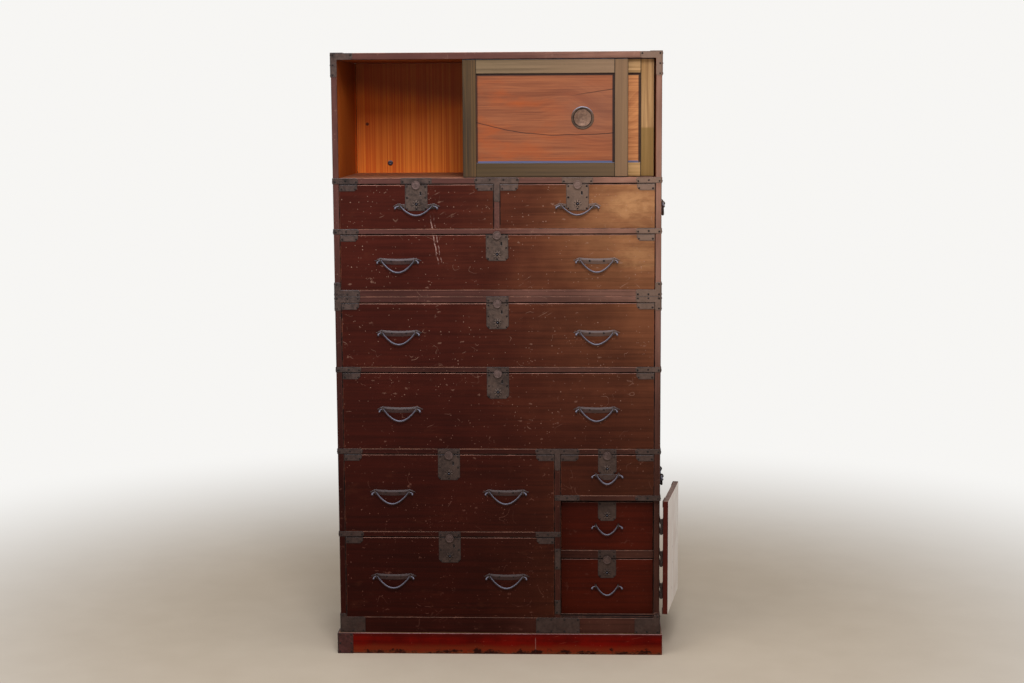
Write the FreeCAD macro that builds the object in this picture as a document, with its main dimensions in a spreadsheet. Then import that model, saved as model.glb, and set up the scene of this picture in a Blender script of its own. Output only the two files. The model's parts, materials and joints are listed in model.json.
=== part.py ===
import FreeCAD, Part
import math
import os
import Sketcher

# A stacked clothing chest of lacquered wood with forged iron fittings.
# Millimetres. +Z is up, the front faces -Y, +X is to the viewer's right.
# The origin is the centre of the base's underside.

# Driving sizes

DRIVING = {
    # carcass
    "chest_width": 950.0,
    "chest_depth": 440.0,
    "side_thickness": 17.5,
    "top_thickness": 19.0,
    "upper_bottom_thickness": 19.5,
    "lower_top_thickness": 17.5,
    "shelf_thickness": 17.0,
    "rail_thickness": 15.2,
    "rail_depth": 58.0,
    "dust_board_thickness": 8.0,
    "divider_thickness": 17.2,
    "back_thickness": 8.5,
    "bottom_board_thickness": 12.0,
    "bottom_rail_height": 47.6,
    # heights of the openings
    "compartment_height": 338.8,
    "small_drawer_height": 130.3,
    "upper_wide_height": 162.4,
    "lower_wide_high_height": 190.1,
    "lower_wide_low_height": 228.0,
    "left_high_height": 234.3,
    "left_low_height": 245.7,
    "right_small_height": 124.0,
    "column_divider_x": 173.5,
    # base
    "base_height": 63.0,
    "base_board_thickness": 22.0,
    "base_side_proud": 8.0,
    "base_front_proud": 7.0,
    "base_batten_width": 60.0,
    "base_iron_length": 45.0,
    # drawers
    "drawer_front_thickness": 17.0,
    "drawer_side_thickness": 9.0,
    "drawer_bottom_thickness": 7.0,
    "drawer_side_gap": 1.3,
    "drawer_top_gap": 2.2,
    "drawer_slide_gap": 0.4,
    "drawer_wall_drop": 8.0,
    "drawer_back_gap": 12.0,
    # safe bay with its two inner drawers
    "safe_door_thickness": 15.0,
    "safe_door_edge_gap": 1.5,
    "safe_door_open_angle": 261.0,
    "safe_recess": 34.0,
    "safe_stop_gap": 1.0,
    "safe_floor_step": 3.2,
    "safe_rail_height": 24.0,
    "safe_header_height": 8.6,
    "safe_lower_drawer_height": 170.4,
    "safe_front_thickness": 13.0,
    # hinges of the safe door
    "hinge_offset": 4.0,
    "hinge_height": 47.0,
    "hinge_top_drop": 54.0,
    "hinge_pitch": 97.0,
    "hinge_knuckle_radius": 3.4,
    "hinge_pin_radius": 1.6,
    "hinge_pin_gap": 0.3,
    "hinge_knuckle_gap": 0.4,
    "hinge_leaf_length": 42.0,
    "hinge_leaf_thickness": 1.5,
    # sliding doors
    "door_thickness": 16.0,
    "door_stile_width": 38.6,
    "door_rail_width": 40.5,
    "door_panel_thickness": 7.0,
    "door_panel_setback": 6.0,
    "door_front_setback": 5.0,
    "door_track_gap": 3.0,
    "door_edge_gap": 1.6,
    "door_tongue_thickness": 7.0,
    "door_tongue_down": 3.0,
    "door_tongue_up": 7.0,
    "door_groove_gap": 0.6,
    "floor_groove_depth": 4.0,
    "top_groove_depth": 9.0,
    "front_door_shift": 359.0,
    "rear_door_gap": 4.0,
    "pull_radius": 33.0,
    "pull_rim_width": 3.5,
    "pull_rim_height": 2.0,
    "pull_cup_depth": 5.0,
    "pull_wall": 1.4,
    "pull_edge_distance": 130.5,
    # iron plates
    "iron_thickness": 1.6,
    "iron_chamfer": 4.5,
    "leg_bulge": 4.0,
    "end_iron_length": 73.5,
    "end_iron_side": 48.0,
    "top_iron_length": 63.0,
    "top_iron_leg": 50.0,
    "top_iron_cap": 34.0,
    "seam_upper_leg": 22.0,
    "seam_lower_leg": 24.0,
    "tee_length": 130.0,
    "foot_iron_length": 130.0,
    "small_tee_leg": 53.0,
    "column_tee_leg": 49.0,
    "column_strip_top_drop": 36.0,
    "column_strip_high": 62.0,
    "column_strip_low": 42.0,
    "foot_iron_leg": 11.0,
    "drawer_corner_width": 52.0,
    "drawer_corner_height": 18.5,
    # locks
    "lock_width": 65.0,
    "lock_height": 76.0,
    "lock_corner_cut": 9.0,
    "narrow_lock_width": 54.0,
    "narrow_lock_height": 58.0,
    "small_rail_plate_width": 90.0,
    "disc_radius": 12.4,
    "disc_thickness": 3.0,
    "disc_drop": 3.2,
    "button_travel": 5.0,
    "button_stop_gap": 1.0,
    "shaft_radius": 3.0,
    "shaft_length": 19.0,
    "shaft_drop": 8.0,
    "shaft_gap": 0.5,
    "key_washer_radius": 12.0,
    "key_washer_thickness": 1.2,
    "key_hole_radius": 5.2,
    "key_pin_radius": 2.0,
    "key_pin_length": 5.0,
    "key_drop": 59.0,
    "thumb_slot_width": 4.5,
    "thumb_slot_height": 10.0,
    "thumb_slot_aside": 12.5,
    "thumb_slot_drop": 25.5,
    "narrow_key_drop": 43.5,
    "lock_case_depth": 11.0,
    "lock_case_width": 48.0,
    "lock_case_height": 44.0,
    # bail handles
    "bail_half_span": 50.0,
    "bail_tip_reach": 15.5,
    "bail_drop": 35.0,
    "narrow_bail_half_span": 33.5,
    "narrow_bail_tip_reach": 13.0,
    "narrow_bail_drop": 27.0,
    "small_bail_half_span": 48.0,
    "small_bail_tip_reach": 14.0,
    "bail_tip_drop": 7.0,
    "bail_belly_forward": 3.0,
    "bail_tip_forward": 2.5,
    "bail_wire_radius": 2.6,
    "carry_half_span": 56.0,
    "carry_drop": 36.0,
    "carry_wire_radius": 3.4,
    "carry_tip_reach": 15.0,
    "carry_plate_width": 34.0,
    "carry_plate_height": 34.0,
    "eye_width": 5.0,
    "eye_radius": 5.8,
    "eye_hole_gap": 0.45,
    "eye_reach": 8.0,
    "carry_eye_radius": 7.4,
    "carry_eye_reach": 9.0,
    "leaf_half_width": 68.0,
    "leaf_half_height": 8.0,
    "leaf_end_width": 16.0,
    "leaf_sag": 3.0,
    "wing_inner_drop": 9.0,
    "corner_plate_clip": 8.0,
    "back_bolt_radius": 8.5,
    "back_bolt_height": 4.0,
    "back_bolt_aside": 352.6,
    "back_bolt_up": 30.4,
    "boat_half_width": 31.0,
    "boat_keel_half_width": 16.0,
    "boat_height": 15.0,
    "boat_sag": 2.5,
    "upper_carry_height": 260.0,
    "lower_carry_height": 507.0,
    # places of the bails on the drawers
    "wide_bail_x": 288.5,
    "left_bail_x": 167.8,
    # one overrun serves every cut
    "overrun": 3.0,
}

# Shares of the sizes named beside them
SHARES = {
    "upper_wide_bail_share": 0.527,
    "lower_wide_high_bail_share": 0.535,
    "lower_wide_low_bail_share": 0.52,
    "left_bail_share": 0.512,
    "narrow_bail_share": 0.505,
    "belly_power_share": 1.3,
    "bail_eye_thinning_share": 0.8,
    "bail_tip_swelling_share": 1.25,
}


class Size:
    """A number together with the sheet expression that it comes from."""

    def __init__(self, value, text):
        self.value = value
        self.text = text

    def joined(self, sign, other, value):
        return Size(value, "(%s %s %s)" % (self.text, sign, other.text))

    def __add__(self, other):
        other = as_size(other)
        return self.joined("+", other, self.value + other.value)

    def __radd__(self, other):
        return as_size(other) + self

    def __sub__(self, other):
        other = as_size(other)
        return self.joined("-", other, self.value - other.value)

    def __rsub__(self, other):
        return as_size(other) - self

    def __mul__(self, other):
        other = as_size(other)
        return self.joined("*", other, self.value * other.value)

    def __rmul__(self, other):
        return as_size(other) * self

    def __truediv__(self, other):
        other = as_size(other)
        return self.joined("/", other, self.value / other.value)

    def __neg__(self):
        return self * -1


def as_size(number):
    if isinstance(number, Size):
        return number
    return Size(float(number), repr(float(number)))


class Sizes:
    """Holds one Size for each cell of the sheet, under the cell's alias."""


doc = FreeCAD.newDocument("clothing_chest")
sheet = doc.addObject("Spreadsheet::Sheet", "Sizes")
mm = Sizes()
for row, (alias, number) in enumerate({**DRIVING, **SHARES}.items(), start=1):
    sheet.set("A%d" % row, alias)
    sheet.set("B%d" % row, str(number))
    sheet.setAlias("B%d" % row, alias)
    setattr(mm, alias, Size(number, "Sizes." + alias))
doc.recompute()

ALONG_X = FreeCAD.Rotation(FreeCAD.Vector(0, 1, 0), 90)
ALONG_Y = FreeCAD.Rotation(FreeCAD.Vector(1, 0, 0), -90)
NO_TURN = FreeCAD.Rotation()

# How many flats each round piece is given
LEG_SIDES = 4
NOSE_SIDES = 5
PIN_SIDES = 6
HOLE_SIDES = 8
KNUCKLE_SIDES = 10
WASHER_SIDES = 12
DISC_SIDES = 16
PULL_SIDES = 24


# Small builders that bind each size to the sheet

def bind(thing, prop, size):
    thing.setExpression(prop, as_size(size).text)


def place(thing, x, y, z, turn=NO_TURN):
    thing.Placement = FreeCAD.Placement(FreeCAD.Vector(), turn)
    bind(thing, "Placement.Base.x", x)
    bind(thing, "Placement.Base.y", y)
    bind(thing, "Placement.Base.z", z)
    return thing


def board(name, x, y, z):
    """A plain board between two places on each axis."""
    thing = doc.addObject("Part::Box", name)
    bind(thing, "Length", x[1] - x[0])
    bind(thing, "Width", y[1] - y[0])
    bind(thing, "Height", z[1] - z[0])
    return place(thing, x[0], y[0], z[0])


def rod(name, x, y, z, radius, length, sides, turn=NO_TURN):
    """A round piece with its corners on the radius."""
    thing = doc.addObject("Part::Prism", name)
    thing.Polygon = sides
    bind(thing, "Circumradius", radius)
    bind(thing, "Height", length)
    return place(thing, x, y, z, turn)


def bore(name, x, y, z, radius, length, turn=NO_TURN):
    """A tool for a round hole, with its flats on the radius so that a pin of that radius passes."""
    return rod(name, x, y, z, radius / math.cos(math.pi / HOLE_SIDES), length, HOLE_SIDES, turn)


def cut(name, base, tool):
    thing = doc.addObject("Part::Cut", name)
    thing.Base = base
    thing.Tool = tool
    return thing


def fuse(name, pieces):
    thing = doc.addObject("Part::MultiFuse", name)
    thing.Shapes = pieces
    return thing


def outline(sketch, corners, sags):
    """Draws a closed outline. An edge named in sags bulges out by that much."""
    points = [FreeCAD.Vector(as_size(u).value, as_size(v).value, 0) for u, v in corners]
    count = len(points)
    for i in range(count):
        start, end = points[i], points[(i + 1) % count]
        if i not in sags:
            sketch.addGeometry(Part.LineSegment(start, end), False)
            continue
        along = (end - start).normalize()
        outward = FreeCAD.Vector(along.y, -along.x, 0)
        middle = (start + end) * 0.5 + outward * sags[i].value
        ends = (start, middle, end) if sags[i].value > 0 else (end, middle, start)
        sketch.addGeometry(Part.Arc(*ends), False)

    def hollow(edge):
        return edge in sags and sags[edge].value < 0

    for i in range(count):
        j = (i + 1) % count
        sides = (1 if hollow(i) else 2, 2 if hollow(j) else 1)
        sketch.addConstraint(Sketcher.Constraint("Coincident", i, sides[0], j, sides[1]))
    for i, (u, v) in enumerate(corners):
        pin_down(sketch, i, 2 if hollow(i) else 1, u, v)
    for i, sag in sags.items():
        du = as_size(corners[(i + 1) % count][0]) - corners[i][0]
        dv = as_size(corners[(i + 1) % count][1]) - corners[i][1]
        depth = -sag if hollow(i) else sag
        radius = ((du * du + dv * dv) / 4 + sag * sag) / (2 * depth)
        constrain(sketch, ("Radius", i), radius)


def constrain(sketch, kind_and_places, size):
    index = sketch.addConstraint(Sketcher.Constraint(*kind_and_places, as_size(size).value))
    bind(sketch, "Constraints[%d]" % index, size)


def pin_down(sketch, edge, end, u, v):
    """Ties one point of an edge to its two distances from the sketch's origin."""
    constrain(sketch, ("DistanceX", -1, 1, edge, end), u)
    constrain(sketch, ("DistanceY", -1, 1, edge, end), v)


def plate(name, plane, corners, thickness, at, sags=None):
    """A flat iron plate. On XZ it thickens towards -Y, on YZ towards +X, on XY upwards."""
    body = doc.addObject("PartDesign::Body", name)
    sketch = body.newObject("Sketcher::SketchObject", name + "_outline")
    support = [o for o in body.Origin.OriginFeatures if o.Role == plane + "_Plane"][0]
    sketch.AttachmentSupport = [(support, "")]
    sketch.MapMode = "FlatFace"
    outline(sketch, corners, sags or {})
    pad = body.newObject("PartDesign::Pad", name + "_pad")
    pad.Profile = sketch
    bind(pad, "Length", thickness)
    body.Tip = pad
    return place(body, *at)


nodes = []


def node(label, pieces):
    """One named sub-part: its separate solids under one label."""
    thing = doc.addObject("Part::Compound", label)
    thing.Label = label
    thing.Links = pieces
    nodes.append(thing)
    return thing


# Places on the three axes, from the driving sizes

half_width = mm.chest_width / 2
front = -(mm.chest_depth / 2)
rear = mm.chest_depth / 2
inner_half = half_width - mm.side_thickness
back_face = rear - mm.back_thickness

base_top = mm.base_height
floor_top = base_top + mm.bottom_rail_height
left_low = (floor_top, floor_top + mm.left_low_height)
left_high = (left_low[1] + mm.rail_thickness, left_low[1] + mm.rail_thickness + mm.left_high_height)
column_top = left_high[1]
lower_wide_low_floor = column_top + mm.rail_thickness
lower_wide_low = (lower_wide_low_floor, lower_wide_low_floor + mm.lower_wide_low_height)
lower_wide_high_floor = lower_wide_low[1] + mm.rail_thickness
lower_wide_high = (lower_wide_high_floor, lower_wide_high_floor + mm.lower_wide_high_height)
seam = lower_wide_high[1] + mm.lower_top_thickness
upper_floor = seam + mm.upper_bottom_thickness
upper_wide = (upper_floor, upper_floor + mm.upper_wide_height)
small_floor = upper_wide[1] + mm.rail_thickness
small_drawers = (small_floor, small_floor + mm.small_drawer_height)
shelf_top = small_drawers[1] + mm.shelf_thickness
compartment = (shelf_top, shelf_top + mm.compartment_height)
chest_top = compartment[1] + mm.top_thickness

right_small = (column_top - mm.right_small_height, column_top)
safe_top = right_small[0] - mm.rail_thickness
safe_front = front + mm.safe_recess
safe_floor = floor_top + mm.safe_floor_step
safe_lower = (safe_floor, safe_floor + mm.safe_lower_drawer_height)
safe_upper = (safe_lower[1] + mm.safe_rail_height, safe_top - mm.safe_header_height)

divider_left = mm.column_divider_x - mm.divider_thickness / 2
divider_right = mm.column_divider_x + mm.divider_thickness / 2
full_depth = (front, rear)
boards_depth = (front, back_face)
between_sides = (-inner_half, inner_half)
left_column = (-inner_half, divider_left)
right_column = (divider_right, inner_half)
left_small = (-inner_half, -(mm.divider_thickness / 2))
right_small_drawer = (mm.divider_thickness / 2, inner_half)


def shelf(name, x, top, start=front):
    """A front rail with a thin dust board behind it, flush on top."""
    rail_back = start + mm.rail_depth
    rail = board(name, x, (start, rail_back), (top - mm.rail_thickness, top))
    dust = board(name + "_dust_board", x, (rail_back, back_face), (top - mm.dust_board_thickness, top))
    return [rail, dust]


def grooves(name, z):
    """The two long channels that the sliding doors' tongues run in."""
    half = mm.door_tongue_thickness / 2 + mm.door_groove_gap
    return fuse(name, [
        board("%s_%d" % (name, k), between_sides, (middle - half, middle + half), z)
        for k, middle in enumerate(door_middles)])


front_door_face = front + mm.door_front_setback
rear_door_face = front_door_face + mm.door_thickness + mm.door_track_gap
door_middles = [face + mm.door_thickness / 2 for face in (front_door_face, rear_door_face)]

# Base

base_x = half_width + mm.base_side_proud
base_front = front - mm.base_front_proud
base_inner_x = base_x - mm.base_board_thickness
base_z = (0, base_top)
node("base_plinth", [
    board("base_front_board", (-base_x, base_x), (base_front, base_front + mm.base_board_thickness), base_z),
    board("base_back_board", (-base_x, base_x), (rear - mm.base_board_thickness, rear), base_z),
    board("base_left_board", (-base_x, -base_inner_x),
          (base_front + mm.base_board_thickness, rear - mm.base_board_thickness), base_z),
    board("base_right_board", (base_inner_x, base_x),
          (base_front + mm.base_board_thickness, rear - mm.base_board_thickness), base_z),
    board("base_centre_batten", (-(mm.base_batten_width / 2), mm.base_batten_width / 2),
          (base_front + mm.base_board_thickness, rear - mm.base_board_thickness), base_z),
])

# Lower carcass

lower_sides_z = (base_top, lower_wide_high[1])
bay_cut = board("safe_bay_cut", (inner_half - mm.overrun, half_width + mm.overrun),
                (front - mm.overrun, front + mm.safe_door_thickness + mm.safe_stop_gap),
                (floor_top + mm.foot_iron_leg, safe_top))
lower_pieces = [
    board("lower_left_side", (-half_width, -inner_half), full_depth, lower_sides_z),
    cut("lower_right_side", board("lower_right_side_blank", (inner_half, half_width), full_depth,
                                  lower_sides_z), bay_cut),
    board("lower_top_board", (-half_width, half_width), full_depth, (lower_wide_high[1], seam)),
    board("bottom_rail", between_sides, (front, front + mm.side_thickness), (base_top, floor_top)),
    board("bottom_board", between_sides, (front + mm.side_thickness, back_face),
          (floor_top - mm.bottom_board_thickness, floor_top)),
    board("column_divider", (divider_left, divider_right), boards_depth, (floor_top, column_top)),
    board("lower_back_low", between_sides, (back_face, rear), (base_top, column_top)),
    board("lower_back_high", between_sides, (back_face, rear), (column_top, lower_wide_high[1])),
    board("safe_floor_board", right_column, (safe_front, back_face), (floor_top, safe_floor)),
    board("safe_inner_rail", right_column, (safe_front, safe_front + mm.rail_depth),
          (safe_lower[1], safe_upper[0])),
    board("safe_inner_dust_board", right_column, (safe_front + mm.rail_depth, back_face),
          (safe_upper[0] - mm.dust_board_thickness, safe_upper[0])),
    board("safe_header", right_column, (safe_front, safe_front + mm.side_thickness),
          (safe_upper[1], safe_top)),
]
lower_pieces += shelf("lower_rail_high", between_sides, lower_wide_high[0])
lower_pieces += shelf("lower_rail_low", between_sides, lower_wide_low[0])
lower_pieces += shelf("left_rail", left_column, left_high[0])
lower_pieces += shelf("right_rail", right_column, right_small[0])
node("lower_case", lower_pieces)

# Upper carcass

upper_sides_z = (upper_floor, compartment[1])
top_blank = board("upper_top_blank", (-half_width, half_width), full_depth, (compartment[1], chest_top))
shelf_blank = board("compartment_floor_blank", between_sides, boards_depth, (small_drawers[1], shelf_top))
upper_pieces = [
    board("upper_left_side", (-half_width, -inner_half), full_depth, upper_sides_z),
    board("upper_right_side", (inner_half, half_width), full_depth, upper_sides_z),
    cut("upper_top_board", top_blank,
        grooves("top_grooves", (compartment[1] - mm.overrun, compartment[1] + mm.top_groove_depth))),
    cut("compartment_floor", shelf_blank,
        grooves("floor_grooves", (shelf_top - mm.floor_groove_depth, shelf_top + mm.overrun))),
    board("upper_bottom_board", (-half_width, half_width), full_depth, (seam, upper_floor)),
    board("small_divider", (left_small[1], right_small_drawer[0]), boards_depth, small_drawers),
    board("upper_back_low", between_sides, (back_face, rear), (upper_floor, small_drawers[1])),
    board("upper_back_high", between_sides, (back_face, rear), (small_drawers[1], compartment[1])),
]
upper_pieces += shelf("upper_rail", between_sides, small_floor)
node("upper_case", upper_pieces)

# Sliding doors

door_width = (2 * inner_half + mm.door_stile_width) / 2 - mm.door_edge_gap
door_bottom = shelf_top + mm.door_edge_gap
door_top = compartment[1] - mm.door_edge_gap


def sliding_door(name, left, face, pull_x):
    """Two stiles, two rails with running tongues, a thin panel and a cup pull."""
    right = left + door_width
    back = face + mm.door_thickness
    y = (face, back)
    tongue = (face + mm.door_thickness / 2 - mm.door_tongue_thickness / 2,
              face + mm.door_thickness / 2 + mm.door_tongue_thickness / 2)
    inner_x = (left + mm.door_stile_width, right - mm.door_stile_width)
    panel_z = (door_bottom + mm.door_rail_width, door_top - mm.door_rail_width)
    panel_face = face + mm.door_panel_setback
    panel_back = panel_face + mm.door_panel_thickness
    pull_z = (door_bottom + door_top) / 2
    seat = mm.pull_radius - mm.pull_rim_width
    hole = rod(name + "_pull_hole", pull_x, panel_face - mm.overrun, pull_z, seat,
               mm.door_panel_thickness + 2 * mm.overrun, PULL_SIDES, ALONG_Y)
    panel_blank = board(name + "_panel_blank", inner_x, (panel_face, panel_back), panel_z)
    node(name, [
        board(name + "_left_stile", (left, inner_x[0]), y, (door_bottom, door_top)),
        board(name + "_right_stile", (inner_x[1], right), y, (door_bottom, door_top)),
        fuse(name + "_bottom_rail", [
            board(name + "_bottom_bar", inner_x, y, (door_bottom, panel_z[0])),
            board(name + "_bottom_tongue", (left, right), tongue,
                  (door_bottom - mm.door_tongue_down, door_bottom))]),
        fuse(name + "_top_rail", [
            board(name + "_top_bar", inner_x, y, (panel_z[1], door_top)),
            board(name + "_top_tongue", (left, right), tongue,
                  (door_top, door_top + mm.door_tongue_up))]),
        cut(name + "_panel", panel_blank, hole),
    ])
    rim = rod(name + "_rim", pull_x, panel_face - mm.pull_rim_height, pull_z, mm.pull_radius,
              mm.pull_rim_height, PULL_SIDES, ALONG_Y)
    cup = rod(name + "_cup", pull_x, panel_face - mm.pull_rim_height, pull_z, seat,
              mm.pull_rim_height + mm.pull_cup_depth, PULL_SIDES, ALONG_Y)
    hollow = rod(name + "_hollow", pull_x, panel_face - mm.pull_rim_height - mm.overrun, pull_z,
                 seat - mm.pull_wall, mm.overrun + mm.pull_rim_height + mm.pull_cup_depth - mm.pull_wall,
                 PULL_SIDES, ALONG_Y)
    node(name + "_pull", [cut(name + "_pull_ring", fuse(name + "_pull_blank", [rim, cup]), hollow)])


front_door_left = -inner_half + mm.door_edge_gap + mm.front_door_shift
rear_door_left = inner_half - mm.rear_door_gap - door_width
front_pull_x = front_door_left + door_width - mm.pull_edge_distance
rear_pull_x = rear_door_left + mm.pull_edge_distance
sliding_door("front_sliding_door", front_door_left, front_door_face, front_pull_x)
sliding_door("rear_sliding_door", rear_door_left, rear_door_face, rear_pull_x)

# Bail handles: a forged bar on a planned curve, hexagonal in section,
# thinner where it passes its eyes and swelling to a curled fern-head tip

BELLY_STEPS = 4
TIP_STEPS = 2
SECTION_SIDES = 6


def thinned(wire_radius):
    """The bar's radius where it passes through its eyes."""
    return wire_radius * mm.bail_eye_thinning_share


def bail_path(half_span, tip_reach, drop, tip_drop, belly_forward, tip_forward):
    """Stations along the bar: place across, place forward, height and thickness share."""
    eye_half = mm.eye_width.value / 2
    power = mm.belly_power_share.value
    thin = mm.bail_eye_thinning_share.value
    swell = mm.bail_tip_swelling_share.value
    half = []
    for k in range(BELLY_STEPS + 1):
        turn = math.pi / 2 * k / BELLY_STEPS
        fall = math.cos(math.pi / 2 * math.sin(turn)) ** power
        across = (half_span - eye_half) * math.sin(turn)
        half.append((across, belly_forward * fall, -drop * fall, thin + (1 - thin) * fall))
    half.append((half_span + eye_half, 0.0, 0.0, thin))
    for k in range(1, TIP_STEPS + 1):
        part = k / TIP_STEPS
        across = half_span + eye_half + (tip_reach - eye_half) * math.sin(math.pi / 2 * part)
        curl = 1 - math.cos(math.pi / 2 * part)
        half.append((across, tip_forward * curl, -tip_drop * curl, thin + (swell - thin) * part))
    return [(-a, f, h, t) for a, f, h, t in reversed(half[1:])] + half


def flat_face(*corners):
    return Part.Face(Part.makePolygon([*corners, corners[0]]))


def bail_bar(stations, wire_radius):
    """The hexagonal bar through its stations, in the handle's own frame, with flat facets as forged."""
    places = [FreeCAD.Vector(a, -f, h) for a, f, h, t in stations]
    rings = []
    for i, (middle, station) in enumerate(zip(places, stations)):
        before, after = places[max(i - 1, 0)], places[min(i + 1, len(places) - 1)]
        along = (after - before).normalize()
        side = FreeCAD.Vector(0, -1, 0).cross(along).normalize()
        out = along.cross(side)
        ring = []
        for k in range(SECTION_SIDES):
            turn = 2 * math.pi * (k + 0.5) / SECTION_SIDES
            reach = wire_radius * station[3]
            ring.append(middle + side * (reach * math.cos(turn)) + out * (reach * math.sin(turn)))
        rings.append(ring)
    faces = [flat_face(*rings[0]), flat_face(*rings[-1])]
    for here, there in zip(rings, rings[1:]):
        for k in range(SECTION_SIDES):
            j = (k + 1) % SECTION_SIDES
            faces.append(flat_face(here[k], here[j], there[j]))
            faces.append(flat_face(here[k], there[j], there[k]))
    skin = Part.makeShell(faces)
    skin.sewShape()
    return Part.makeSolid(skin)


def bail(label, shape, at, turn=NO_TURN):
    thing = doc.addObject("Part::Feature", label)
    thing.Label = label
    thing.Shape = shape
    place(thing, *at, turn)
    nodes.append(thing)


def bail_shape(half_span, tip_reach, drop, wire_radius):
    path = bail_path(half_span.value, tip_reach.value, drop.value, mm.bail_tip_drop.value,
                     mm.bail_belly_forward.value, mm.bail_tip_forward.value)
    return bail_bar(path, wire_radius.value)


wide_bail = bail_shape(mm.bail_half_span, mm.bail_tip_reach, mm.bail_drop, mm.bail_wire_radius)
small_bail = bail_shape(mm.small_bail_half_span, mm.small_bail_tip_reach, mm.narrow_bail_drop,
                        mm.bail_wire_radius)
narrow_bail = bail_shape(mm.narrow_bail_half_span, mm.narrow_bail_tip_reach, mm.narrow_bail_drop,
                         mm.bail_wire_radius)
carry_bail = bail_shape(mm.carry_half_span, mm.carry_tip_reach, mm.carry_drop, mm.carry_wire_radius)


def shank(name, plane, root, reach, radius, sign, at):
    """An eye's blank along sign: flats on a round nose, and between them an arc about the bail's axis."""
    turns = [math.pi * k / NOSE_SIDES for k in range(NOSE_SIDES + 1)]
    nose = [(sign * (reach + radius * math.sin(a)), radius * (-sign * math.cos(a))) for a in turns]
    corners = [(root, sign * radius), (root, -(sign * radius))] + nose
    bulge = radius * (1 - math.cos(math.pi / NOSE_SIDES / 2))
    return plate(name + "_shank", plane, corners, mm.eye_width, at, {2 + NOSE_SIDES // 2: bulge})


def eye(name, x, y, z, root):
    """A split-pin eye standing out of a drawer front, bored along X, with its root set back."""
    near = x - mm.eye_width / 2
    blank = shank(name, "YZ", root, mm.eye_reach, mm.eye_radius, -1, (near, y, z))
    return cut(name, blank, bore(name + "_bore", near - mm.overrun, y - mm.eye_reach, z,
                                 thinned(mm.bail_wire_radius) + mm.eye_hole_gap,
                                 mm.eye_width + 2 * mm.overrun, ALONG_X))


def leaf(name, x, y, z):
    """The long leaf-shaped plate behind a wide bail, sagging in the middle."""
    wide = mm.leaf_half_width
    high = mm.leaf_half_height
    end = wide - mm.leaf_end_width
    corners = [(-end, -high), (end, -high), (wide, 0), (end, high), (-end, high), (-wide, 0)]
    return plate(name, "XZ", corners, mm.iron_thickness, (x, y, z),
                 {0: mm.leaf_sag, 3: -mm.leaf_sag})


def boat(name, x, y, z):
    """The short boat-shaped plate behind a narrow bail, hung from its straight top edge."""
    wide = mm.boat_half_width
    keel = mm.boat_keel_half_width
    corners = [(-keel, -mm.boat_height), (keel, -mm.boat_height), (wide, 0), (-wide, 0)]
    return plate(name, "XZ", corners, mm.iron_thickness, (x, y, z), {0: mm.boat_sag})


def wing(name, x, y, z, sign):
    """The end of a leaf that shows beside a small drawer's lock plate, under the eye."""
    high = mm.leaf_half_height
    inner = sign * mm.lock_width / 2
    tip = sign * mm.leaf_half_width
    end = tip - sign * mm.leaf_end_width
    corners = [(inner, -mm.wing_inner_drop), (end, -high), (tip, 0), (end, high),
               (inner, high - mm.leaf_sag)]
    if sign < 0:
        corners.reverse()
    return plate(name, "XZ", corners, mm.iron_thickness, (x, y, z))


def corner_plate(name, x, y, z, side):
    """A drawer's top-corner plate with its free lower corner cut off."""
    wide = mm.drawer_corner_width
    high = mm.drawer_corner_height
    clip = mm.corner_plate_clip
    if side == "left":
        corners = [(0, -high), (wide - clip, -high), (wide, clip - high), (wide, 0), (0, 0)]
    else:
        corners = [(clip - wide, -high), (0, -high), (0, 0), (-wide, 0), (-wide, clip - high)]
    return plate(name, "XZ", corners, mm.iron_thickness, (x, y, z))


def lock(name, x, face, top, sizes, shaft_hole=None):
    """Lock plate with cut lower corners and a thumb slot, key washer and pin."""
    width, height, key_drop, slotted = sizes
    half = width / 2
    clip = mm.lock_corner_cut
    plate_face = face - mm.iron_thickness
    washer_face = plate_face - mm.key_washer_thickness
    key_z = top + mm.drawer_top_gap - key_drop
    corners = [(clip - half, -height), (half - clip, -height), (half, clip - height), (half, 0),
               (-half, 0), (-half, clip - height)]
    key_hole = bore(name + "_key_hole", x, washer_face - mm.overrun, key_z, mm.key_hole_radius,
                    face - washer_face + mm.overrun, ALONG_Y)
    holes = [key_hole]
    if shaft_hole:
        holes.append(shaft_hole)
    if slotted:
        slot_x = x + mm.thumb_slot_aside
        slot_z = top - mm.thumb_slot_drop
        holes.append(board(name + "_thumb_slot",
                           (slot_x - mm.thumb_slot_width / 2, slot_x + mm.thumb_slot_width / 2),
                           (plate_face - mm.overrun, face),
                           (slot_z - mm.thumb_slot_height / 2, slot_z + mm.thumb_slot_height / 2)))
    tool = key_hole if len(holes) == 1 else fuse(name + "_holes", holes)
    washer = rod(name + "_washer_blank", x, washer_face, key_z, mm.key_washer_radius,
                 mm.key_washer_thickness, WASHER_SIDES, ALONG_Y)
    return [cut(name, plate(name + "_blank", "XZ", corners, mm.iron_thickness, (x, face, top)), tool),
            cut(name + "_key_washer", washer, key_hole),
            rod(name + "_key_pin", x, face - mm.key_pin_length, key_z, mm.key_pin_radius,
                mm.key_pin_length, PIN_SIDES, ALONG_Y)]


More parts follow.
